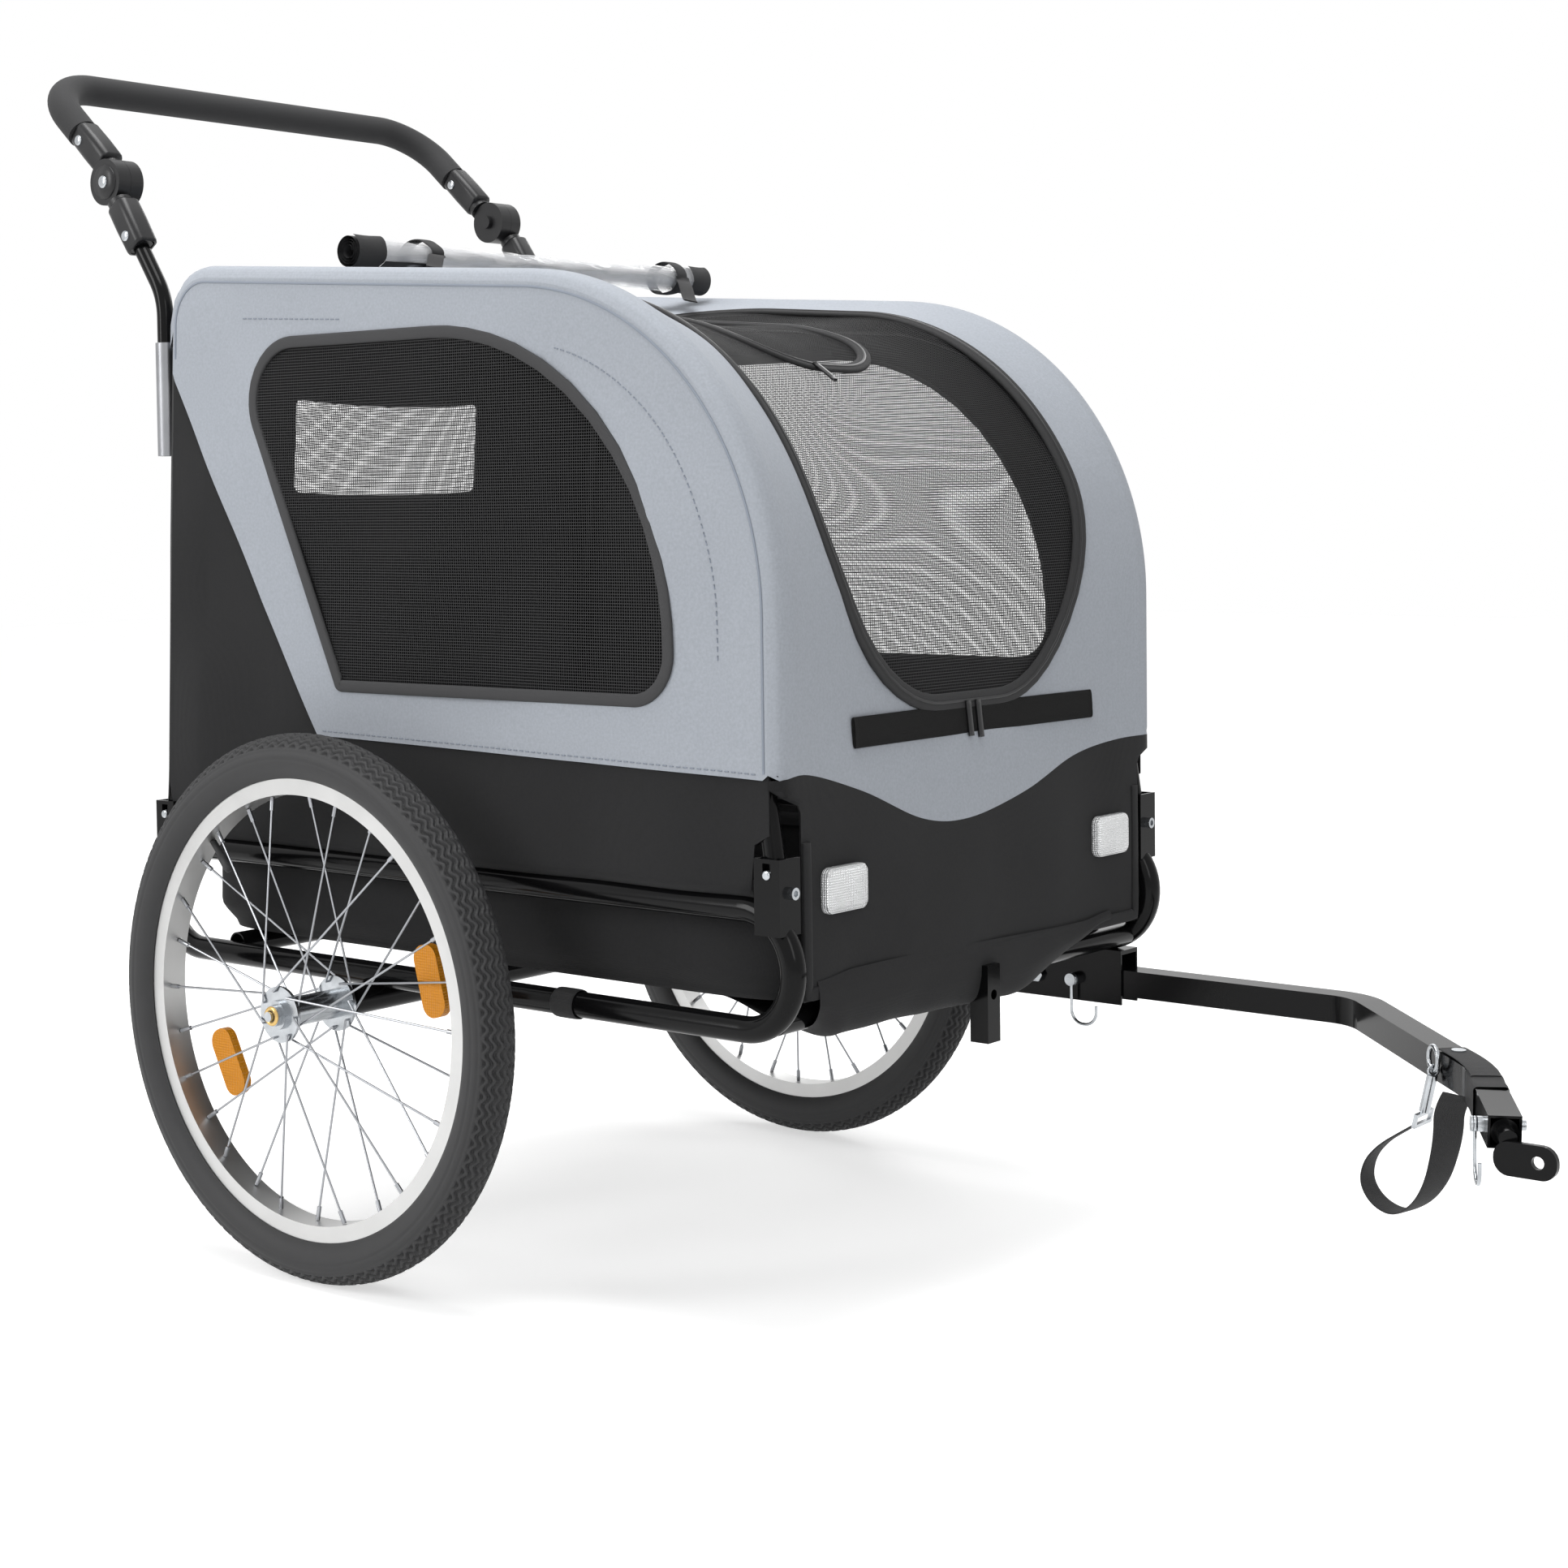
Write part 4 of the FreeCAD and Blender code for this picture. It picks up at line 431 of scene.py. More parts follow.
def stitches(name, lines):
    """Short raised threads along lines of points, each given with its normals."""
    dash, gap, width, thickness = 0.0042, 0.0030, 0.0011, 0.0007
    all_verts, all_faces = [], []
    for points, normals in lines:
        run = distances(points)
        for start in np.arange(0, run[-1] - dash, dash + gap):
            ends = np.array([start, start + dash])
            verts, faces = band(interpolated(ends, run, points), interpolated(ends, run, normals), width,
                                thickness, False)
            base = sum(len(v) for v in all_verts)
            all_verts.append(verts)
            all_faces += [tuple(base + i for i in face) for face in faces]
    return mesh_object(name, np.vstack(all_verts), all_faces, THREAD)


def wrinkle(verts, normals, size, amount, seed):
    """Pushes points along their normals by smooth noise."""
    offset = Vector((seed, seed * 2.3, -seed))
    shifts = [noise.noise(Vector(v) / size + offset) * amount for v in verts]
    return verts + normals * np.array(shifts)[:, None]


# The cover's shape: an arch in side view, carried by the two hoops

HOOP_HALF = 0.274
REAR_FOOT, FRONT_FOOT = -0.280, 0.478
PIVOT_Z = 0.382
ROOF_REAR_Z, ROOF_FRONT_Z = 0.917, 0.866
ROOF_REAR_RADIUS, ROOF_FRONT_RADIUS = 0.045, 0.283
REAR_REACH = 0.029
REAR_LEAN = REAR_REACH / (ROOF_REAR_Z - PIVOT_Z)
RIDGE = 0.0118
SIDE_Y = HOOP_HALF + RIDGE
ARCH_BOTTOM = 0.286

SAG_REACH = HOOP_HALF - 0.0095
SAG_POWER = 2.2
ROOF_REAR_SAG, ROOF_FRONT_SAG, FRONT_SAG, REAR_SAG = 0.030, 0.040, 0.052, 0.010


def fold_with_cabin(made):
    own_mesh(made)
    return made


def arch_curve(sag_share):
    """The hoops' arch in side view, drawn in by a share of the cloth's sag. All have points in step."""
    rear_foot = np.array([REAR_FOOT, PIVOT_Z])
    front_foot = np.array([FRONT_FOOT, PIVOT_Z])
    rear_top = (REAR_FOOT + REAR_REACH + REAR_SAG * sag_share, ROOF_REAR_Z - ROOF_REAR_SAG * sag_share)
    front_top = (FRONT_FOOT - FRONT_SAG * sag_share, ROOF_FRONT_Z - ROOF_FRONT_SAG * sag_share)
    radii = [0, ROOF_REAR_RADIUS, ROOF_FRONT_RADIUS, 0]
    arch = rounded([rear_foot, rear_top, front_top, front_foot], radii, 60)
    rear_bottom = rear_foot - np.array([REAR_LEAN, 1]) * (PIVOT_Z - ARCH_BOTTOM)
    front_bottom = front_foot - np.array([0, 1]) * (PIVOT_Z - ARCH_BOTTOM)
    knots = [rear_bottom, *arch, front_bottom]
    longest_bend_step, straight_steps = 0.02, 30
    out = []
    for start, end in zip(knots, knots[1:]):
        steps = 1 if np.linalg.norm(end - start) < longest_bend_step else straight_steps
        out += [start + (end - start) * k / steps for k in range(steps)]
    return np.array(out + [knots[-1]])


def curve_normals(curve):
    run = unit(np.gradient(curve, axis=0))
    return np.column_stack([-run[:, 1], run[:, 0]])


ARCH = arch_curve(0.0)
LOW_ARCH = arch_curve(1.0)
ARCH_RUN = distances(ARCH)
ARCH_LENGTH = ARCH_RUN[-1]
ARCH_NORMAL = curve_normals(ARCH)
LOW_NORMAL = curve_normals(LOW_ARCH)


def front_run(z):
    """Distance along the arch to a height on the front."""
    return ARCH_LENGTH - (z - ARCH_BOTTOM)


def rear_run(z):
    """Distance along the arch to a height on the rear."""
    return (z - ARCH_BOTTOM) * math.hypot(1, REAR_LEAN)


def slant_run(slant):
    """Distance along the arch to a slant (height less forward reach), forward of the rear corner."""
    ahead = ARCH_RUN > rear_run(ROOF_REAR_Z)
    own = ARCH[ahead, 1] - ARCH[ahead, 0]
    return np.interp(-slant, -own, ARCH_RUN[ahead])


def cover_points(y, run, lift=0.0):
    """Points of the cover at distances across and along the arch, lifted outward."""
    beyond = np.clip((np.abs(y) - HOOP_HALF) / RIDGE, 0, 1)
    offset = ((RIDGE + lift) * np.sqrt(1 - beyond ** 2))[:, None]
    sag = (1 - np.clip(np.abs(y) / SAG_REACH, 0, 1) ** SAG_POWER)[:, None]
    high = interpolated(run, ARCH_RUN, ARCH) + interpolated(run, ARCH_RUN, ARCH_NORMAL) * offset
    low = interpolated(run, ARCH_RUN, LOW_ARCH) + interpolated(run, ARCH_RUN, LOW_NORMAL) * offset
    place = high * (1 - sag) + low * sag
    return np.column_stack([AXLE_X + place[:, 0], y + np.sign(y) * lift * beyond, place[:, 1]])


def cover_normals(y, run):
    """Outward normals of the cover, from small steps on it."""
    step = 0.0008
    inner = np.clip(np.abs(y), 0, SIDE_Y - 2 * step) * np.sign(y)
    sideways = cover_points(inner + step, run) - cover_points(inner - step, run)
    forward = cover_points(inner, run + step) - cover_points(inner, run - step)
    return unit(np.cross(forward, sideways))


def shaded_sheet(name, verts, normals, faces, look, uvs=None, lining=True):
    """A sheet of the cover, with a dark lining behind it."""
    lining_depth, fill_share = 0.0012, 0.8
    made = fold_with_cabin(mesh_object(name, verts, faces, look, uvs=uvs))
    if lining:
        inside = verts - normals * lining_depth
        back = mesh_object(name + "_lining", inside, [f[::-1] for f in faces], LINING)
        fold_with_cabin(back)
    return made


COVER_FOLD, COVER_SEED = 0.11, 3.0
EDGE_REACH = 0.06


def cover_sheet(name, patch, look, depth, lining=True, closed=True, uvs=None, lift=0.0):
    """A sheet laid on the arch from a net of (across, along) points, with wrinkles of a given depth."""
    net, rows, columns = patch
    y, run = net.T
    normals = cover_normals(y, run)
    calm = np.clip((HOOP_HALF - np.abs(y)) / EDGE_REACH, 0, 1)
    verts = wrinkle(cover_points(y, run, lift), normals * calm[:, None], COVER_FOLD, depth, COVER_SEED)
    return shaded_sheet(name, verts, normals, grid_faces(rows, columns, closed), look, uvs, lining)


# Canopy in grey, round the mesh door

DOOR_HALF = 0.203
DOOR_LOW, DOOR_HIGH = 0.029, 0.620
DOOR_RADII = [0.160, 0.160, 0.060, 0.060]
door_flat = dense(rounded_box((-DOOR_HALF, DOOR_LOW), (DOOR_HALF, DOOR_HIGH), DOOR_RADII), 0.006)
DOOR = np.column_stack([door_flat[:, 0], slant_run(door_flat[:, 1] * math.sqrt(2))])
DOOR_CENTRE = (0.0, (DOOR[:, 1].min() + DOOR[:, 1].max()) / 2)

SEAM_SIDE_Z = 0.472
FRONT_SEAM = smooth_line([(-SIDE_Y, SEAM_SIDE_Z), (-0.245, 0.474), (-0.170, 0.454), (-0.085, 0.422),
                          (-0.015, 0.4155), (0.074, 0.431), (0.155, 0.456), (0.225, 0.466), (SIDE_Y, 0.467)])
REAR_GREY_END = 0.850

canopy_outline = [(-SIDE_Y, rear_run(REAR_GREY_END))]
canopy_outline += [(y, front_run(z)) for y, z in FRONT_SEAM]
canopy_outline += [(SIDE_Y, rear_run(REAR_GREY_END))]
canopy_patch = ring_patch(DOOR, canopy_outline, DOOR_CENTRE, 46, 520)
canopy = cover_sheet("cover_canopy", canopy_patch, GREY, depth=0.004)
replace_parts(canopy, "canopy")


# Front flap and rear panel in black, which laps under the grey

FLAP_HEM = 0.291
FLAP_MIDDLE = 0.44
FLAP_NARROW_Z, FLAP_NARROW_HALF = 0.432, 0.258
LAP, LAP_DEPTH = 0.012, 0.0015


def flap_lines():
    """From the wavy seam down to the hem, narrowing past the hinge brackets."""
    lines = []
    across = np.linspace(-1, 1, 90)
    top = np.interp(across * SIDE_Y, FRONT_SEAM[:, 0], FRONT_SEAM[:, 1])
    for share in np.linspace(0, 1, 27):
        middle_z = FLAP_MIDDLE * (1 - share) + FLAP_HEM * share
        narrow = ease((FLAP_NARROW_Z - middle_z) / 0.012)
        half = SIDE_Y * (1 - narrow) + FLAP_NARROW_HALF * narrow
        z = top * (1 - share) + FLAP_HEM * share
        lines.append(np.column_stack([across * half, front_run(z)]))
    return lines


cover_sheet("cover_front_flap", stacked(flap_lines()), BLACK, depth=0.004, closed=False)

REAR_WINDOW_HALF, REAR_WINDOW_LOW, REAR_WINDOW_HIGH = 0.132, 0.721, 0.830
rear_window = rounded_box((-REAR_WINDOW_HALF, REAR_WINDOW_LOW), (REAR_WINDOW_HALF, REAR_WINDOW_HIGH), 0.012)
REAR_WINDOW = np.column_stack([rear_window[:, 0], rear_run(rear_window[:, 1])])
REAR_CENTRE = (0.0, rear_run(0.775))
rear_low, rear_high = rear_run(0.40), rear_run(REAR_GREY_END + LAP)
rear_outline = [(-SIDE_Y, rear_low), (SIDE_Y, rear_low), (SIDE_Y, rear_high), (-SIDE_Y, rear_high)]
rear_patch = ring_patch(REAR_WINDOW, rear_outline, REAR_CENTRE, 30)
rear = cover_sheet("cover_rear_panel", rear_patch, BLACK, depth=0.003, lift=-LAP_DEPTH)
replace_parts(rear, "rear_panel")


# Mesh door and rear window

def netting(name, outline, centre, steps, replaced):
    patch = disc_patch(outline, centre, steps)
    made = cover_sheet(name, patch, NETTING, depth=0.005, lining=False, uvs=patch[0], lift=-0.001)
    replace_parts(made, replaced)


netting("cover_door_mesh", DOOR, DOOR_CENTRE, 40, "front_mesh_door")
netting("cover_rear_mesh", REAR_WINDOW, REAR_CENTRE, 14, "rear_mesh")


def cover_band(name, outline, width, thickness, look, closed=True, lift=0.0005):
    """A flat binding laid on the arch along a line of (across, along) points."""
    y, run = dense(outline, 0.006, closed).T
    points = cover_points(y, run, lift)
    made = ribbon(name, points, cover_normals(y, run), width, thickness, look, closed=closed)
    return fold_with_cabin(made)


FLAP_EDGE = 0.252
hem_run, hem_top_run = front_run(0.2965), front_run(0.420)
flap_hem = [(-FLAP_EDGE, hem_top_run), (-FLAP_EDGE, hem_run), (FLAP_EDGE, hem_run), (FLAP_EDGE, hem_top_run)]
BINDING_THICK = 0.005
ZIP_WIDTH = 0.0034
cover_band("front_flap_hem", flap_hem, 0.011, 0.0026, BLACK, closed=False)
cover_band("door_binding", DOOR, 0.016, BINDING_THICK, BINDING)
cover_band("door_zip", DOOR, ZIP_WIDTH, 0.0068, PLASTIC)
cover_band("rear_window_binding", REAR_WINDOW, 0.010, 0.003, EDGING)

# Roof hatch: a tongue in the mesh door with its own zip
HATCH_HALF, HATCH_RADIUS = 0.090, 0.075
HATCH_END, HATCH_START = 1.222, 0.960
hatch_corners = [(-HATCH_HALF, HATCH_START), (-HATCH_HALF, HATCH_END), (HATCH_HALF, HATCH_END),
                 (HATCH_HALF, HATCH_START)]
hatch_line = rounded(hatch_corners, [0, HATCH_RADIUS, HATCH_RADIUS, 0])
cover_band("hatch_binding", hatch_line, 0.014, BINDING_THICK, BINDING, closed=False)
cover_band("hatch_zip", hatch_line, ZIP_WIDTH, 0.0066, PLASTIC, closed=False)


def zip_pull(name, y, run, length):
    """A flat tag hanging down the cover from its slider."""
    places = np.linspace(run, run + length, 8)
    across = np.full(8, y)
    points = cover_points(across, places, lift=0.004)
    fold_with_cabin(ribbon(name, points, cover_normals(across, places), 0.007, 0.003, PLASTIC))


door_bottom_run = DOOR[:, 1].max()
zip_pull("door_pull_right", -0.006, door_bottom_run, 0.032)
zip_pull("door_pull_left", 0.009, door_bottom_run, 0.034)
zip_pull("hatch_pull", -0.030, HATCH_END, 0.030)

# Hook-and-loop strip across the front
strip_run = front_run(0.503)
strip_line = [(-0.178, strip_run), (0.187, strip_run)]
cover_band("hook_and_loop_strip", strip_line, 0.026, 0.0035, HOOK_TAPE, closed=False, lift=0.001)


# Side panels

WINDOW_CORNERS = [(-0.025, 0.531), (0.375, 0.531), (0.375, 0.847), (-0.168, 0.847)]
WINDOW = rounded(WINDOW_CORNERS, [0.004, 0.040, 0.272, 0.055])
WINDOW_CENTRE = (0.120, 0.690)
SEAM_FRONT = (FRONT_FOOT, SEAM_SIDE_Z)
SEAM_REAR = (-0.058, 0.484)
BORDER_MIDDLE = (-0.134, 0.607)
BORDER_TOP_Z = 0.818
SIDE_FOLD, SIDE_FOLD_DEPTH, SIDE_SEED = 0.13, 0.005, 7.0
TUCK_Z, TUCK_DEPTH = 0.384, 0.0245


def side_outline():
    """The grey part of a side: along the arch, down the front, back along the seam and up the rear border."""
    keep = (ARCH_RUN > rear_run(BORDER_TOP_Z)) & (ARCH_RUN < front_run(SEAM_SIDE_Z))
    return [*ARCH[keep], SEAM_FRONT, SEAM_REAR, BORDER_MIDDLE]


def side_points(side, xz, inset=0.0):
    """Points of a side panel, from points in side view."""
    depth = np.full(len(xz), SIDE_Y) - inset
    return np.column_stack([AXLE_X + xz[:, 0], side * depth, xz[:, 1]])


def facing(side, count):
    return np.tile([0.0, float(side), 0.0], (count, 1))


def edge_calm(xz):
    """Zero at the arch, one well inside it."""
    line = dense(ARCH, 0.012, False)
    gaps = np.min(np.linalg.norm(xz[:, None, :] - line[None, :, :], axis=2), axis=1)
    return np.clip(gaps / 0.05, 0, 1)


def side_sheet(name, side, patch, look, depth, inset=0.0, tucked=0.0, closed=True, lining=True,
               uvs=None):
    """A flat sheet on one side. Where it is tucked it lies deeper, behind the rail, and has no wrinkles."""
    net, rows, columns = patch
    normals = facing(side, len(net))
    calm = edge_calm(net) * (1 - tucked)
    verts = side_points(side, net, inset + tucked * TUCK_DEPTH)
    verts = wrinkle(verts, normals * calm[:, None], SIDE_FOLD, depth, SIDE_SEED + side)
    faces = grid_faces(rows, columns, closed, flip=side > 0)
    return shaded_sheet(name, verts, normals, faces, look, uvs, lining)


def lower_side_lines():
    """The black part of a side, from under the grey down to where it tucks behind the upper rail."""
    tuck_end, turn_z = 0.352, 0.43
    foot = REAR_FOOT - REAR_LEAN * (PIVOT_Z - turn_z)
    upper = [(-0.250, 0.834), (-0.122, 0.613), (-0.050, SEAM_REAR[1] + LAP), (FRONT_FOOT, SEAM_SIDE_Z + LAP)]
    lower = [(-0.2565, 0.8175), (foot, turn_z), (foot + 0.018, tuck_end), (0.455, tuck_end), (0.462, 0.42),
             (FRONT_FOOT, 0.428)]
    spread = []
    for corners in (upper, lower):
        line = dense(corners, 0.01, False)
        run = distances(line)
        spread.append(interpolated(np.linspace(0, run[-1], 140), run, line))
    top, bottom = spread
    return [top * (1 - share) + bottom * share for share in np.linspace(0, 1, 41)]


for side_name, side in SIDES:
    patch = ring_patch(WINDOW, side_outline(), WINDOW_CENTRE, 30, 420)
    grey = side_sheet(f"cover_{side_name}_side", side, patch, GREY, depth=SIDE_FOLD_DEPTH)
    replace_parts(grey, f"{side_name}_side_panel")

    patch = disc_patch(WINDOW, WINDOW_CENTRE, 24)
    window = side_sheet(f"cover_{side_name}_mesh", side, patch, NETTING, depth=0.006, inset=0.001,
                        lining=False, uvs=patch[0])
    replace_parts(window, f"{side_name}_mesh")

    patch = stacked(lower_side_lines())
    tucked = ease((TUCK_Z - patch[0][:, 1]) / 0.022)
    side_sheet(f"cover_{side_name}_lower", side, patch, BLACK, depth=0.007, inset=LAP_DEPTH,
               tucked=tucked, closed=False)

    points = side_points(side, dense(WINDOW, 0.005), -0.0005)
    edging = ribbon(f"{side_name}_window_edging", points, facing(side, len(points)), 0.011, 0.004, EDGING,
                    closed=True)
    fold_with_cabin(edging)


# Stitching and the seam along the arch on each side

def side_line(side, points):
    """A line on a side, with the same wrinkles as the grey cloth, and its normals."""
    line = dense(points, 0.004, False)
    normals = facing(side, len(line))
    calm = edge_calm(line)[:, None]
    places = wrinkle(side_points(side, line), normals * calm, SIDE_FOLD, SIDE_FOLD_DEPTH, SIDE_SEED + side)
    return places + normals * 0.0004, normals


def inside_arch(inset, z_from, z_to):
    """A line inside the arch, from a height on the rear to a height on the front."""
    keep = (ARCH_RUN > rear_run(z_from)) & (ARCH_RUN < front_run(z_to))
    return (ARCH - ARCH_NORMAL * inset)[keep]


STITCH_SKIP = 70
for side_name, side in SIDES:
    lines = [
        side_line(side, inside_arch(0.052, 0.905, 0.560)[STITCH_SKIP:]),
        side_line(side, [(-0.150, 0.872), (-0.010, 0.864)]),
        side_line(side, [(-0.050, 0.4885), (FRONT_FOOT - 0.006, 0.4765)]),
    ]
    fold_with_cabin(stitches(f"{side_name}_stitches", lines))
    points, normals = side_line(side, inside_arch(0.004, 0.83, 0.474))
    fold_with_cabin(ribbon(f"{side_name}_ridge_seam", points, normals, 0.0022, 0.0010, THREAD))


# Tub: a soft black tray hung inside the side loops

TUB_TOP, TUB_BOTTOM = 0.372, 0.2862
TUB_LOW, TUB_HIGH = np.array([-0.266, -0.2605]), np.array([0.486, 0.2605])


def hung_sheet(name, verts, faces):
    """A black sheet that stays on the frame as the cabin folds."""
    made = mesh_object(name, verts, faces, BLACK)
    return made


def tub_lines():
    """Level lines down the walls, then rings in to the middle of a floor that hangs low."""
    levels, rings, dip_depth, corner_power = 16, 14, 0.016, 0.16
    centre, half = (TUB_LOW + TUB_HIGH) / 2, (TUB_HIGH - TUB_LOW) / 2
    angles = full_turn(320)
    outline = bulged(np.column_stack([np.cos(angles), np.sin(angles)]), corner_power) * half
    lines = []
    for share in np.linspace(0, 1, levels + 1):
        z = TUB_TOP * (1 - share) + TUB_BOTTOM * share
        squeeze = 1 - 0.035 * ease((share - 0.7) / 0.3)
        lines.append(np.column_stack([centre + outline * squeeze, np.full(len(angles), z)]))
    foot = lines[-1][:, :2]
    for ring in range(1, rings + 1):
        share = 1 - ring / rings
        flat = centre + (foot - centre) * share
        x_share = np.clip((flat[:, 0] + 0.17) / 0.60, 0, 1)
        dip = dip_depth * np.sin(math.pi * x_share) ** 2 * (1 - share ** 4)
        lines.append(np.column_stack([flat, TUB_BOTTOM - dip]))
    return lines


tub_verts, tub_rows, tub_columns = stacked(tub_lines())
tub_verts[:, 0] += AXLE_X
tub_y, tub_z = tub_verts[:, 1], tub_verts[:, 2]
outward = np.zeros_like(tub_verts)
outward[:, 1] = np.sign(tub_y)
calm = ease((0.370 - tub_z) / 0.03) * ease((tub_z - 0.287) / 0.01) * (np.abs(tub_y) > 0.2)
tub_verts = wrinkle(tub_verts, outward * calm[:, None], size=0.09, amount=0.007, seed=11.0)
tub = hung_sheet("soft_tub", tub_verts, grid_faces(tub_rows, tub_columns, True))
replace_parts(tub, "tub")


# Hoops: drawn a little inside the cloth's sag, so that they lie under the cover when the cabin folds

FRONT_ROOM, REAR_ROOM, TOP_ROOM = 0.032, 0.012, 0.014
for node_name in ("right_hoop", "left_hoop"):
    solid = nodes[node_name]
    verts = np.array([solid.matrix_world @ corner.co for corner in solid.data.vertices])
    height = verts[:, 2] - PIVOT_Z
    forward = ease((verts[:, 0] - AXLE_X - 0.10) / 0.2)
    verts[:, 0] += ease(height / 0.22) * (REAR_ROOM * (1 - forward) - FRONT_ROOM * forward)
    verts[:, 2] -= TOP_ROOM * ease((height - 0.38) / 0.12)
    faces = [list(face.vertices) for face in solid.data.polygons]
    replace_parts(mesh_object(f"{node_name}_tube", verts, faces, PAINT, node_name), node_name)


# Front of the tub: cloth that hangs round the front cross tube

SKIRT_TOP = 0.306
SKIRT_RIGHT, SKIRT_LEFT = -0.240, 0.206
SKIRT_SECTION = [(0.4905, SKIRT_TOP), (0.4925, 0.290), (0.4915, 0.272), (0.484, 0.2545), (0.466, 0.249),
                 (0.435, 0.257), (0.400, 0.271), (0.360, 0.281)]


def skirt_lines():
    """The lower edge sways along its width and rises at both ends, more on the tow side."""
    section = smooth_line(SKIRT_SECTION, 6)
    lines = []
    for y in np.linspace(SKIRT_RIGHT, SKIRT_LEFT, 120):
        end_share = ease(min(y - SKIRT_RIGHT, SKIRT_LEFT - y) / 0.05)
        sway = -0.004 * math.sin(y * 9) * end_share
        depth_share = 1 - 0.75 * ease((y - 0.05) / 0.15) - 0.3 * ease((-0.20 - y) / 0.04)
        heights = SKIRT_TOP - (SKIRT_TOP - section[:, 1]) * depth_share + sway
        lines.append(np.column_stack([AXLE_X + section[:, 0], np.full(len(section), y), heights]))
    return lines


skirt_verts, skirt_rows, skirt_columns = stacked(skirt_lines())
outward = np.outer(ease((0.300 - skirt_verts[:, 2]) / 0.02), [0.6, 0.0, -0.8])
skirt_verts = wrinkle(skirt_verts, outward, size=0.05, amount=0.0022, seed=5.0)
hung_sheet("tub_front_skirt", skirt_verts, grid_faces(skirt_rows, skirt_columns))


# Floor board: a thin plate with rounded corners that lies in the tub

BOARD_INSET, BOARD_RADIUS = 0.018, 0.03
low, high = (np.array(corner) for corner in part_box("floor_board"))
board_edge = rounded_box(low[:2] + BOARD_INSET, high[:2] - BOARD_INSET, BOARD_RADIUS)
board_middle = (low[:2] + high[:2]) / 2
board_lines = []
for share, z in ((0.001, low[2]), (1.0, low[2]), (1.0, high[2]), (0.001, high[2])):
    flat = board_middle + (board_edge - board_middle) * share
    board_lines.append(np.column_stack([flat, np.full(len(flat), z)]))
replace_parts(lofted("tub_floor", board_lines, BOARD, smooth=False), "floor_board")


# Rain cover: a clear sheet rolled up across the roof, bound in black at both ends and tied with two tapes

roll_low, roll_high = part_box("rain_cover")
ROLL_X = (roll_low.x + roll_high.x) / 2
ROLL_Z = (roll_low.z + roll_high.z) / 2
ROLL_RADIUS = (roll_high.z - roll_low.z) / 2
ROLL_HALF = roll_high.y
ROLL_TURNS = 4.2
ROLL_INNER_SHARE, ROLL_OUTER_SHARE, ROLL_MEAN_SHARE = 0.30, 0.97, 0.65
TAPE_THICK = 0.0016


def roll_section(y, angles, radii, lift=0.0):
    """Points round the roll: round at its ends, flattened and hanging low in the middle."""
    slack = np.clip(1 - (y / ROLL_HALF) ** 2, 0, 1)
    crumple = np.array([noise.noise(Vector((y * 26, a * 1.1, 4.0))) for a in angles]) * 0.0045 * slack ** 0.5
    reach = radii + crumple + lift
    x = ROLL_X + np.cos(angles) * reach * (1 + 0.50 * slack)
    z = ROLL_Z + 0.003 + np.sin(angles) * reach * (1 - 0.30 * slack)
    return np.column_stack([x, np.full(len(angles), y), z])


def roll_part(name, y_from, y_to, look, first_turn=0.0, last_turn=ROLL_TURNS, lift=0.0):
    """A length of the rolled sheet between two turns of its spiral."""
    per_turn, step = 44, 0.005
    turns = np.arange(first_turn, last_turn, 1 / per_turn)
    radii = ROLL_RADIUS * (ROLL_INNER_SHARE + (ROLL_OUTER_SHARE - ROLL_INNER_SHARE) * turns / ROLL_TURNS)
    places = np.linspace(y_from, y_to, max(3, int(abs(y_to - y_from) / step)))
    verts, rows, columns = stacked([roll_section(y, turns * 2 * math.pi, radii, lift) for y in places])
    return fold_with_cabin(mesh_object(name, verts, grid_faces(rows, columns), look))


def roll_tie(name, y, tail):
    """A tape round the roll with its loose end lying on the roof."""
    angles = full_turn(48)
    points = roll_section(y, angles, np.full(len(angles), ROLL_RADIUS), 0.0015)
    normals = np.column_stack([np.cos(angles), np.zeros(len(angles)), np.sin(angles)])
    tape = ribbon(name, points, normals, 0.016, TAPE_THICK, BINDING, closed=True)
    share = np.linspace(0, 1, 14)
    start = points[0]
    fall = np.column_stack([start[0] + tail[0] * share, start[1] + tail[1] * share,
                            start[2] + tail[2] * share ** 0.6 + 0.004 * np.sin(share * 5)])
    loose = ribbon(name + "_tail", fall, np.tile([0.3, 0.0, 1.0], (14, 1)), 0.015, TAPE_THICK, BINDING)
    return [fold_with_cabin(tape), fold_with_cabin(loose)]


ROLL_RIGHT, ROLL_LEFT = -ROLL_HALF + 0.034, ROLL_HALF - 0.030
END_GAP = 0.001
roll = roll_part("rain_roll", ROLL_RIGHT, ROLL_LEFT, VINYL)
roll_trim = [
    roll_part("rain_roll_right_end", -ROLL_HALF + END_GAP, ROLL_RIGHT, BINDING),
    roll_part("rain_roll_left_end", ROLL_LEFT, ROLL_HALF - END_GAP, BINDING),
    roll_part("rain_roll_edge", ROLL_RIGHT, -0.150, BINDING, ROLL_TURNS - 0.55, ROLL_TURNS - 0.28, 0.0006),
    *roll_tie("rain_tie_right", -0.158, (0.030, -0.035, -0.012)),
    *roll_tie("rain_tie_left", 0.196, (0.050, -0.045, -0.026)),
]
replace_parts(roll, "rain_cover")


# Tyres with a wavy tread, valves, and bushes at the axles' ends

TREAD_DEPTH, TREAD_PITCH = 0.0026, 0.0068
TREAD_WAVE, TREAD_WAVES = 0.0024, 104
TREAD_EDGE, TREAD_FADE = 0.95, 0.18
GROOVE_DEPTH = 0.0007
GROOVES = ((1.55, 0.05), (1.22, 0.04))
TYRE_SKIN = 0.0002


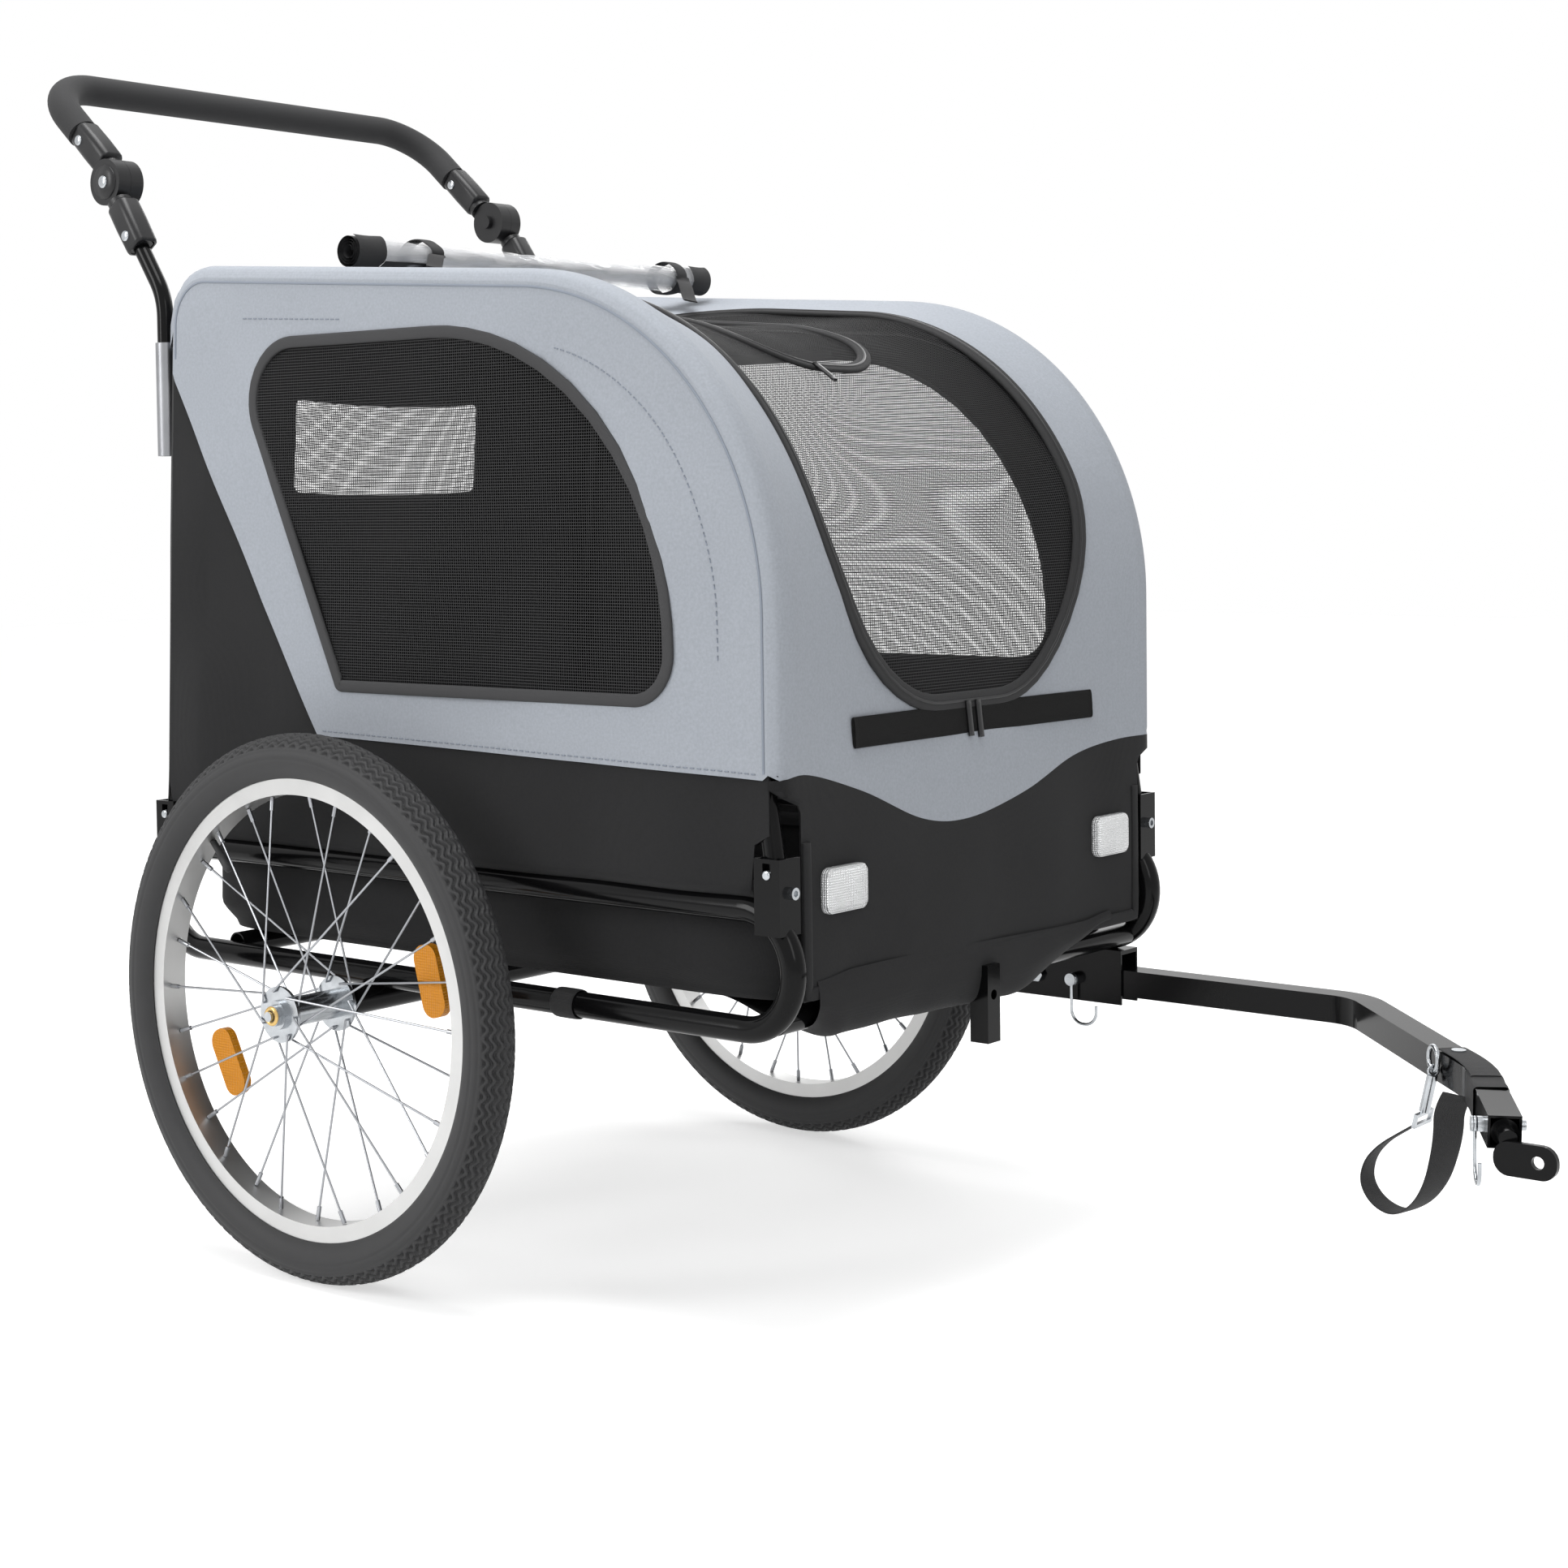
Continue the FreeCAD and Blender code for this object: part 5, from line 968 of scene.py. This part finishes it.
def tyre_mesh(side_name):
    low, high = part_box(f"{side_name}_tyre")
    centre = (np.array(low) + np.array(high)) / 2
    tube = (high.y - low.y) / 2
    circle = (high.z - low.z) / 2 - tube
    theta = full_turn(960)
    wall = np.linspace(1.14, 2.50, 26)
    lines = []
    for angle in np.concatenate([-wall[::-1], np.linspace(-1.12, 1.12, 72), wall]):
        wave = TREAD_WAVE * np.sin(theta * TREAD_WAVES)
        rib = np.cos(2 * math.pi * (angle * tube + wave) / TREAD_PITCH)
        fade = 1 - ease((abs(angle) - TREAD_EDGE) / TREAD_FADE)
        cut = sum(GROOVE_DEPTH * math.exp(-((abs(angle) - place) / wide) ** 2) for place, wide in GROOVES)
        relief = TREAD_DEPTH * fade * (0.5 - 0.5 * np.clip(rib * 1.8 + 0.5, -1, 1))
        radius = tube - relief - cut - TYRE_SKIN
        reach = circle + radius * math.cos(angle)
        lines.append(np.column_stack([centre[0] + reach * np.cos(theta), centre[1] + radius * math.sin(angle),
                                      centre[2] + reach * np.sin(theta)]))
    return lofted(f"{side_name}_tread", lines, RUBBER, f"{side_name}_wheel", flip=True)


VALVE_ANGLE = math.radians(133)
VALVE = [(0.0031, 0.0), (0.0031, 0.016), (0.0043, 0.0165), (0.0046, 0.030), (0.0035, 0.034),
         (0.00001, 0.0342)]
BUSH = [(0.0051, 0.0), (0.0052, 0.0016), (0.0078, 0.0018), (0.0088, 0.0002)]
RIM_DEPTH = 0.0188
inward = -np.array([math.cos(VALVE_ANGLE), 0, math.sin(VALVE_ANGLE)])
for side_name, side in SIDES:
    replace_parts(tyre_mesh(side_name), f"{side_name}_tyre")
    low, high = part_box(f"{side_name}_rim")
    centre = (np.array(low) + np.array(high)) / 2
    rim_inside = (high.z - low.z) / 2 - RIM_DEPTH
    turned(f"{side_name}_valve", centre - inward * rim_inside, inward, VALVE, RUBBER, f"{side_name}_wheel")
    low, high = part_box(f"{side_name}_axle")
    face = high.y if side > 0 else low.y
    turned(f"{side_name}_bush", (AXLE_X, face, centre[2]), (0, side, 0), BUSH, BRASS, "chassis")


# Front reflectors: rounded clear lenses

PILLOW_STEPS = [(1.0, 0.0), (1.0, 0.55), (0.985, 0.78), (0.95, 0.92), (0.85, 0.97), (0.5, 1.0), (0.001, 1.0)]


def pillow(name, centre, half, corner, depth):
    """A rounded rectangle facing forward, with softened edges and a slightly domed face."""
    outline = dense(rounded_box(-half, half, corner, 8), 0.002)
    lines = []
    for share, rise in PILLOW_STEPS:
        lines.append(np.column_stack([np.full(len(outline), centre[0] + depth * rise),
                                      centre[1:] + outline * share]))
    return lofted(name, lines, LENS)


low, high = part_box("front_reflectors")
lens_half = np.array([0.028, (high.z - low.z) / 2])
lenses = []
for side_name, side in SIDES:
    middle = np.array([low.x, side * (high.y - lens_half[0]), (low.z + high.z) / 2])
    lenses.append(pillow(f"{side_name}_front_lens", middle, lens_half, 0.008, high.x - low.x))
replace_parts(lenses[0], "front_reflectors")


# Push handle: moulded shells over the hinges' necks, rivets, washers and pins

HINGE = at(-0.363, 0, 1.018)
LEG = np.array([-0.75, 0, 0.6615])
NECK = np.array([0.564, 0, -0.8257])
LEG_FRONT = np.array([0.6615, 0.0, 0.75])
NECK_FRONT = np.array([0.8257, 0.0, 0.564])
LEG_HALF, BASE_HALF, DISC_FACE = 0.2575, 0.2725, 0.2798
LEG_RIVET_REACH, NECK_RIVET_REACH, RIVET_SEAT = 0.071, 0.068, 0.0002
RIVET = dome(0.0052, 0.0026)
PIN = dome(0.0062, 0.0028)
WASHER = [(0.017, 0.0), (0.0165, 0.0016), (0.006, 0.0018)]
NECK_RADIUS = 0.012
SHELL_HALF, SHELL_DEEP, SHELL_CORNER = 0.0128, 0.0155, 0.0075
SHELL_STOPS = [(0.030, 0.02), (0.030, 0.94), (0.032, 1.0), (0.055, 1.02), (0.080, 0.99), (0.0825, 0.95),
               (0.0828, 0.80)]


def neck_shell(name, start, direction, front, body):
    """A moulded shell of rounded square section along a tube, with its depth towards the front."""
    outline = rounded_box((-SHELL_HALF, -NECK_RADIUS), (SHELL_HALF, SHELL_DEEP), SHELL_CORNER, 8)
    section = outline @ np.array([[0.0, 1.0, 0.0], front])
    lofted(name, [start + direction * reach + section * share for reach, share in SHELL_STOPS], PLASTIC, body)


for side_name, side in SIDES:
    sideways = np.array([0, side, 0])
    leg_start = HINGE + sideways * LEG_HALF
    neck_start = HINGE + sideways * BASE_HALF
    neck_shell(f"{side_name}_leg_shell", leg_start, LEG, LEG_FRONT, "handle")
    neck_shell(f"{side_name}_neck_shell", neck_start, NECK, NECK_FRONT, "handle_base")
    for face_name, outward in (("outer", sideways), ("inner", -sideways)):
        seat = outward * (SHELL_HALF - RIVET_SEAT)
        upper = leg_start + LEG * LEG_RIVET_REACH + seat
        turned(f"{side_name}_{face_name}_leg_rivet", upper, outward, RIVET, ZINC, "handle")
        lower = neck_start + NECK * NECK_RIVET_REACH + seat
        turned(f"{side_name}_{face_name}_neck_rivet", lower, outward, RIVET, ZINC, "handle_base")
    disc = HINGE + sideways * DISC_FACE
    turned(f"{side_name}_hinge_washer", disc, sideways, WASHER, PLASTIC, "handle_base")
    turned(f"{side_name}_hinge_pin", disc + sideways * WASHER[1][1], sideways, PIN, ZINC, "handle_base")


# Webbing loops that tie the tub to both lower rails

WRAP_X, WRAP_Z, WRAP_RADIUS = 0.247, 0.267, 0.0122
angles = full_turn(40)
circle = np.column_stack([np.zeros(len(angles)), np.cos(angles), np.sin(angles)])
for side_name, side in SIDES:
    points = at(WRAP_X, side * HOOP_HALF, WRAP_Z) + circle * WRAP_RADIUS
    ribbon(f"{side_name}_rail_wrap", points, circle, 0.026, 0.0018, WEBBING, closed=True)


# Webbing on the tow arm: from the bolt over the bend and round the arm

BEND = at(0.917, 0.079, 0.220)
MIDDLE_RUN = np.array([0.7193, -0.6944, -0.0214])
END_RUN = np.array([0.5214, -0.8511, -0.0613])
ARM_HALF = 0.0127
SLEEVE_START, SLEEVE_LENGTH, SLEEVE_SLANT = 0.014, 0.044, 0.006


def arm_sleeve(name):
    """Webbing wound round the arm, with slanting edges."""
    up = unit(np.array([0, 0, 1.0]) - END_RUN * END_RUN[2])
    across = np.cross(up, END_RUN)
    half = ARM_HALF + 0.0013
    outline = dense(rounded_box((-half, -half), (half, half), 0.0035, 5), 0.003)
    section = outline @ np.array([across, up])
    lines = []
    for share in np.linspace(0, 1, 24):
        reach = SLEEVE_START + SLEEVE_LENGTH * share + SLEEVE_SLANT * outline[:, 0] / half * (1 - share)
        swell = 1 + 0.012 * math.sin(share * math.pi * 3)
        lines.append(BEND + np.outer(reach, END_RUN) + section * swell)
    return lofted(name, lines, WEBBING, "tow_arm")


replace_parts(arm_sleeve("arm_webbing_sleeve"), "strap_wrap")
tongue_start, tongue_end = BEND - MIDDLE_RUN * 0.062, BEND + END_RUN * 0.030
tongue_line = []
for share in np.linspace(0, 1, 30):
    curve = tongue_start * (1 - share) ** 2 + BEND * 2 * share * (1 - share) + tongue_end * share ** 2
    tongue_line.append(curve + np.array([0, 0, ARM_HALF + 0.0016 + 0.0012 * math.sin(share * math.pi)]))
upward = np.tile([0.0, 0.0, 1.0], (len(tongue_line), 1))
ribbon("arm_webbing_tongue", tongue_line, upward, 0.0245, 0.0017, WEBBING, "tow_arm")


# Safety strap: a webbing band from the arm down and back up to the snap hook

STRAP_ROUTE = [at(0.9062, 0.0572, 0.213), at(0.898, 0.060, 0.200), at(0.896, 0.064, 0.182),
               at(0.891, 0.068, 0.162), at(0.882, 0.072, 0.136), at(0.867, 0.076, 0.115),
               at(0.846, 0.081, 0.102), at(0.824, 0.086, 0.107), at(0.810, 0.091, 0.122),
               at(0.811, 0.096, 0.140), at(0.822, 0.099, 0.154), at(0.836, 0.102, 0.164),
               at(0.8505, 0.1040, 0.1735)]
STRAP_WIDTH, STRAP_THICKNESS = 0.025, 0.0018
STRAP_TWIST_SHARE = 0.7


def smooth_route(points, count):
    """Quadratic spline through the middles of the runs, held at both ends."""
    points = np.array(points)
    middles = np.vstack([points[:1], (points[1:-2] + points[2:-1]) / 2, points[-1:]])
    out = []
    for start, corner, end in zip(middles, points[1:-1], middles[1:]):
        for t in np.linspace(0, 1, count, endpoint=False):
            out.append((1 - t) ** 2 * start + 2 * t * (1 - t) * corner + t * t * end)
    return np.array(out + [middles[-1]])


strap_line = smooth_route(STRAP_ROUTE, 12)
strap_twist = ease(np.linspace(0, 1, len(strap_line)) / STRAP_TWIST_SHARE)
broad = np.outer(1 - strap_twist, [0.80, 0.60, 0.0]) + np.outer(strap_twist, [0.0, 1.0, 0.0])
strap_normals = unit(np.cross(broad, np.gradient(strap_line, axis=0)))
strap = ribbon("strap_webbing", strap_line, strap_normals, STRAP_WIDTH, STRAP_THICKNESS, WEBBING, "tow_arm")
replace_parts(strap, "safety_strap")


# Stage, light and camera

def area_light(name, place, aim, size, power):
    data = bpy.data.lights.new(name, "AREA")
    data.shape = "RECTANGLE"
    data.size, data.size_y = size
    data.energy = power
    light = bpy.data.objects.new(name, data)
    scene.collection.objects.link(light)
    light.location = place
    light.rotation_euler = (Vector(aim) - Vector(place)).to_track_quat("-Z", "Y").to_euler()
    return light


def seen_strength(tree, socket, hidden, shown):
    """One strength for the camera and for what metal and glass show, another for light that only falls."""
    path = tree.nodes.new("ShaderNodeLightPath")
    seen = path.outputs["Is Camera Ray"]
    for other in ("Is Glossy Ray", "Is Transmission Ray"):
        seen = math_node(tree, "MAXIMUM", seen, path.outputs[other])
    tree.links.new(map_range(tree, seen, hidden, shown), socket)


WHITE = (1, 1, 1, 1)
FLOOR_REACH = 12.0
FLOOR_LOOK = material("floor_white", (0.8, 0.8, 0.8), 0.9)
shader_of(FLOOR_LOOK).inputs["Emission Color"].default_value = WHITE
seen_strength(FLOOR_LOOK.node_tree, shader_of(FLOOR_LOOK).inputs["Emission Strength"], 0.0, 0.55)
floor_data = bpy.data.meshes.new("floor")
floor_corners = [(x * FLOOR_REACH, y * FLOOR_REACH, 0) for x, y in ((-1, -1), (1, -1), (1, 1), (-1, 1))]
floor_data.from_pydata(floor_corners, [], [(0, 1, 2, 3)])
floor_data.materials.append(FLOOR_LOOK)
floor = bpy.data.objects.new("floor", floor_data)
scene.collection.objects.link(floor)

lights = [
    area_light("top", (-0.2, -0.3, 3.0), (0, 0, 0.5), (2.4, 1.0), power=50),
    area_light("side", (-1.6, -3.0, 1.9), (-0.1, 0, 0.5), (1.0, 2.0), power=46),
    area_light("front", (3.0, -1.6, 1.9), (0, 0, 0.5), (0.8, 1.8), power=16),
    area_light("back", (-1.0, 3.0, 2.2), (0, 0, 0.6), (2.4, 1.0), power=24),
]

world = bpy.data.worlds.new("studio")
scene.world = world
world.use_nodes = True
background = world.node_tree.nodes["Background"]
background.inputs["Color"].default_value = WHITE
seen_strength(world.node_tree, background.inputs["Strength"], 0.5, 1.0)

CAMERA_PLACE = at(1.791, -1.893, 0.694)
YAW, PITCH, TILT = math.radians(38.63), math.radians(2.59), math.radians(-0.70)
FRAME_PX, FOCAL_PX, MIDDLE_X_PX, MIDDLE_Y_PX = 1932, 3226, 977.8, 764.3
back = Vector((math.sin(YAW) * math.cos(PITCH), -math.cos(YAW) * math.cos(PITCH), math.sin(PITCH)))
level = Vector((0, 0, 1)).cross(back).normalized()
right = level * math.cos(TILT) + back.cross(level) * math.sin(TILT)
rotation = Matrix((right, back.cross(right), back)).transposed().to_4x4()
camera_data = bpy.data.cameras.new("camera")
camera_data.sensor_width = 36
camera_data.lens = FOCAL_PX / FRAME_PX * camera_data.sensor_width
camera_data.shift_x = -(MIDDLE_X_PX - FRAME_PX / 2) / FRAME_PX
camera_data.shift_y = (MIDDLE_Y_PX - FRAME_PX / 2) / FRAME_PX
camera = bpy.data.objects.new("camera", camera_data)
scene.collection.objects.link(camera)
camera.matrix_world = Matrix.Translation(Vector(CAMERA_PLACE)) @ rotation
scene.camera = camera
scene.view_settings.view_transform = "Standard"
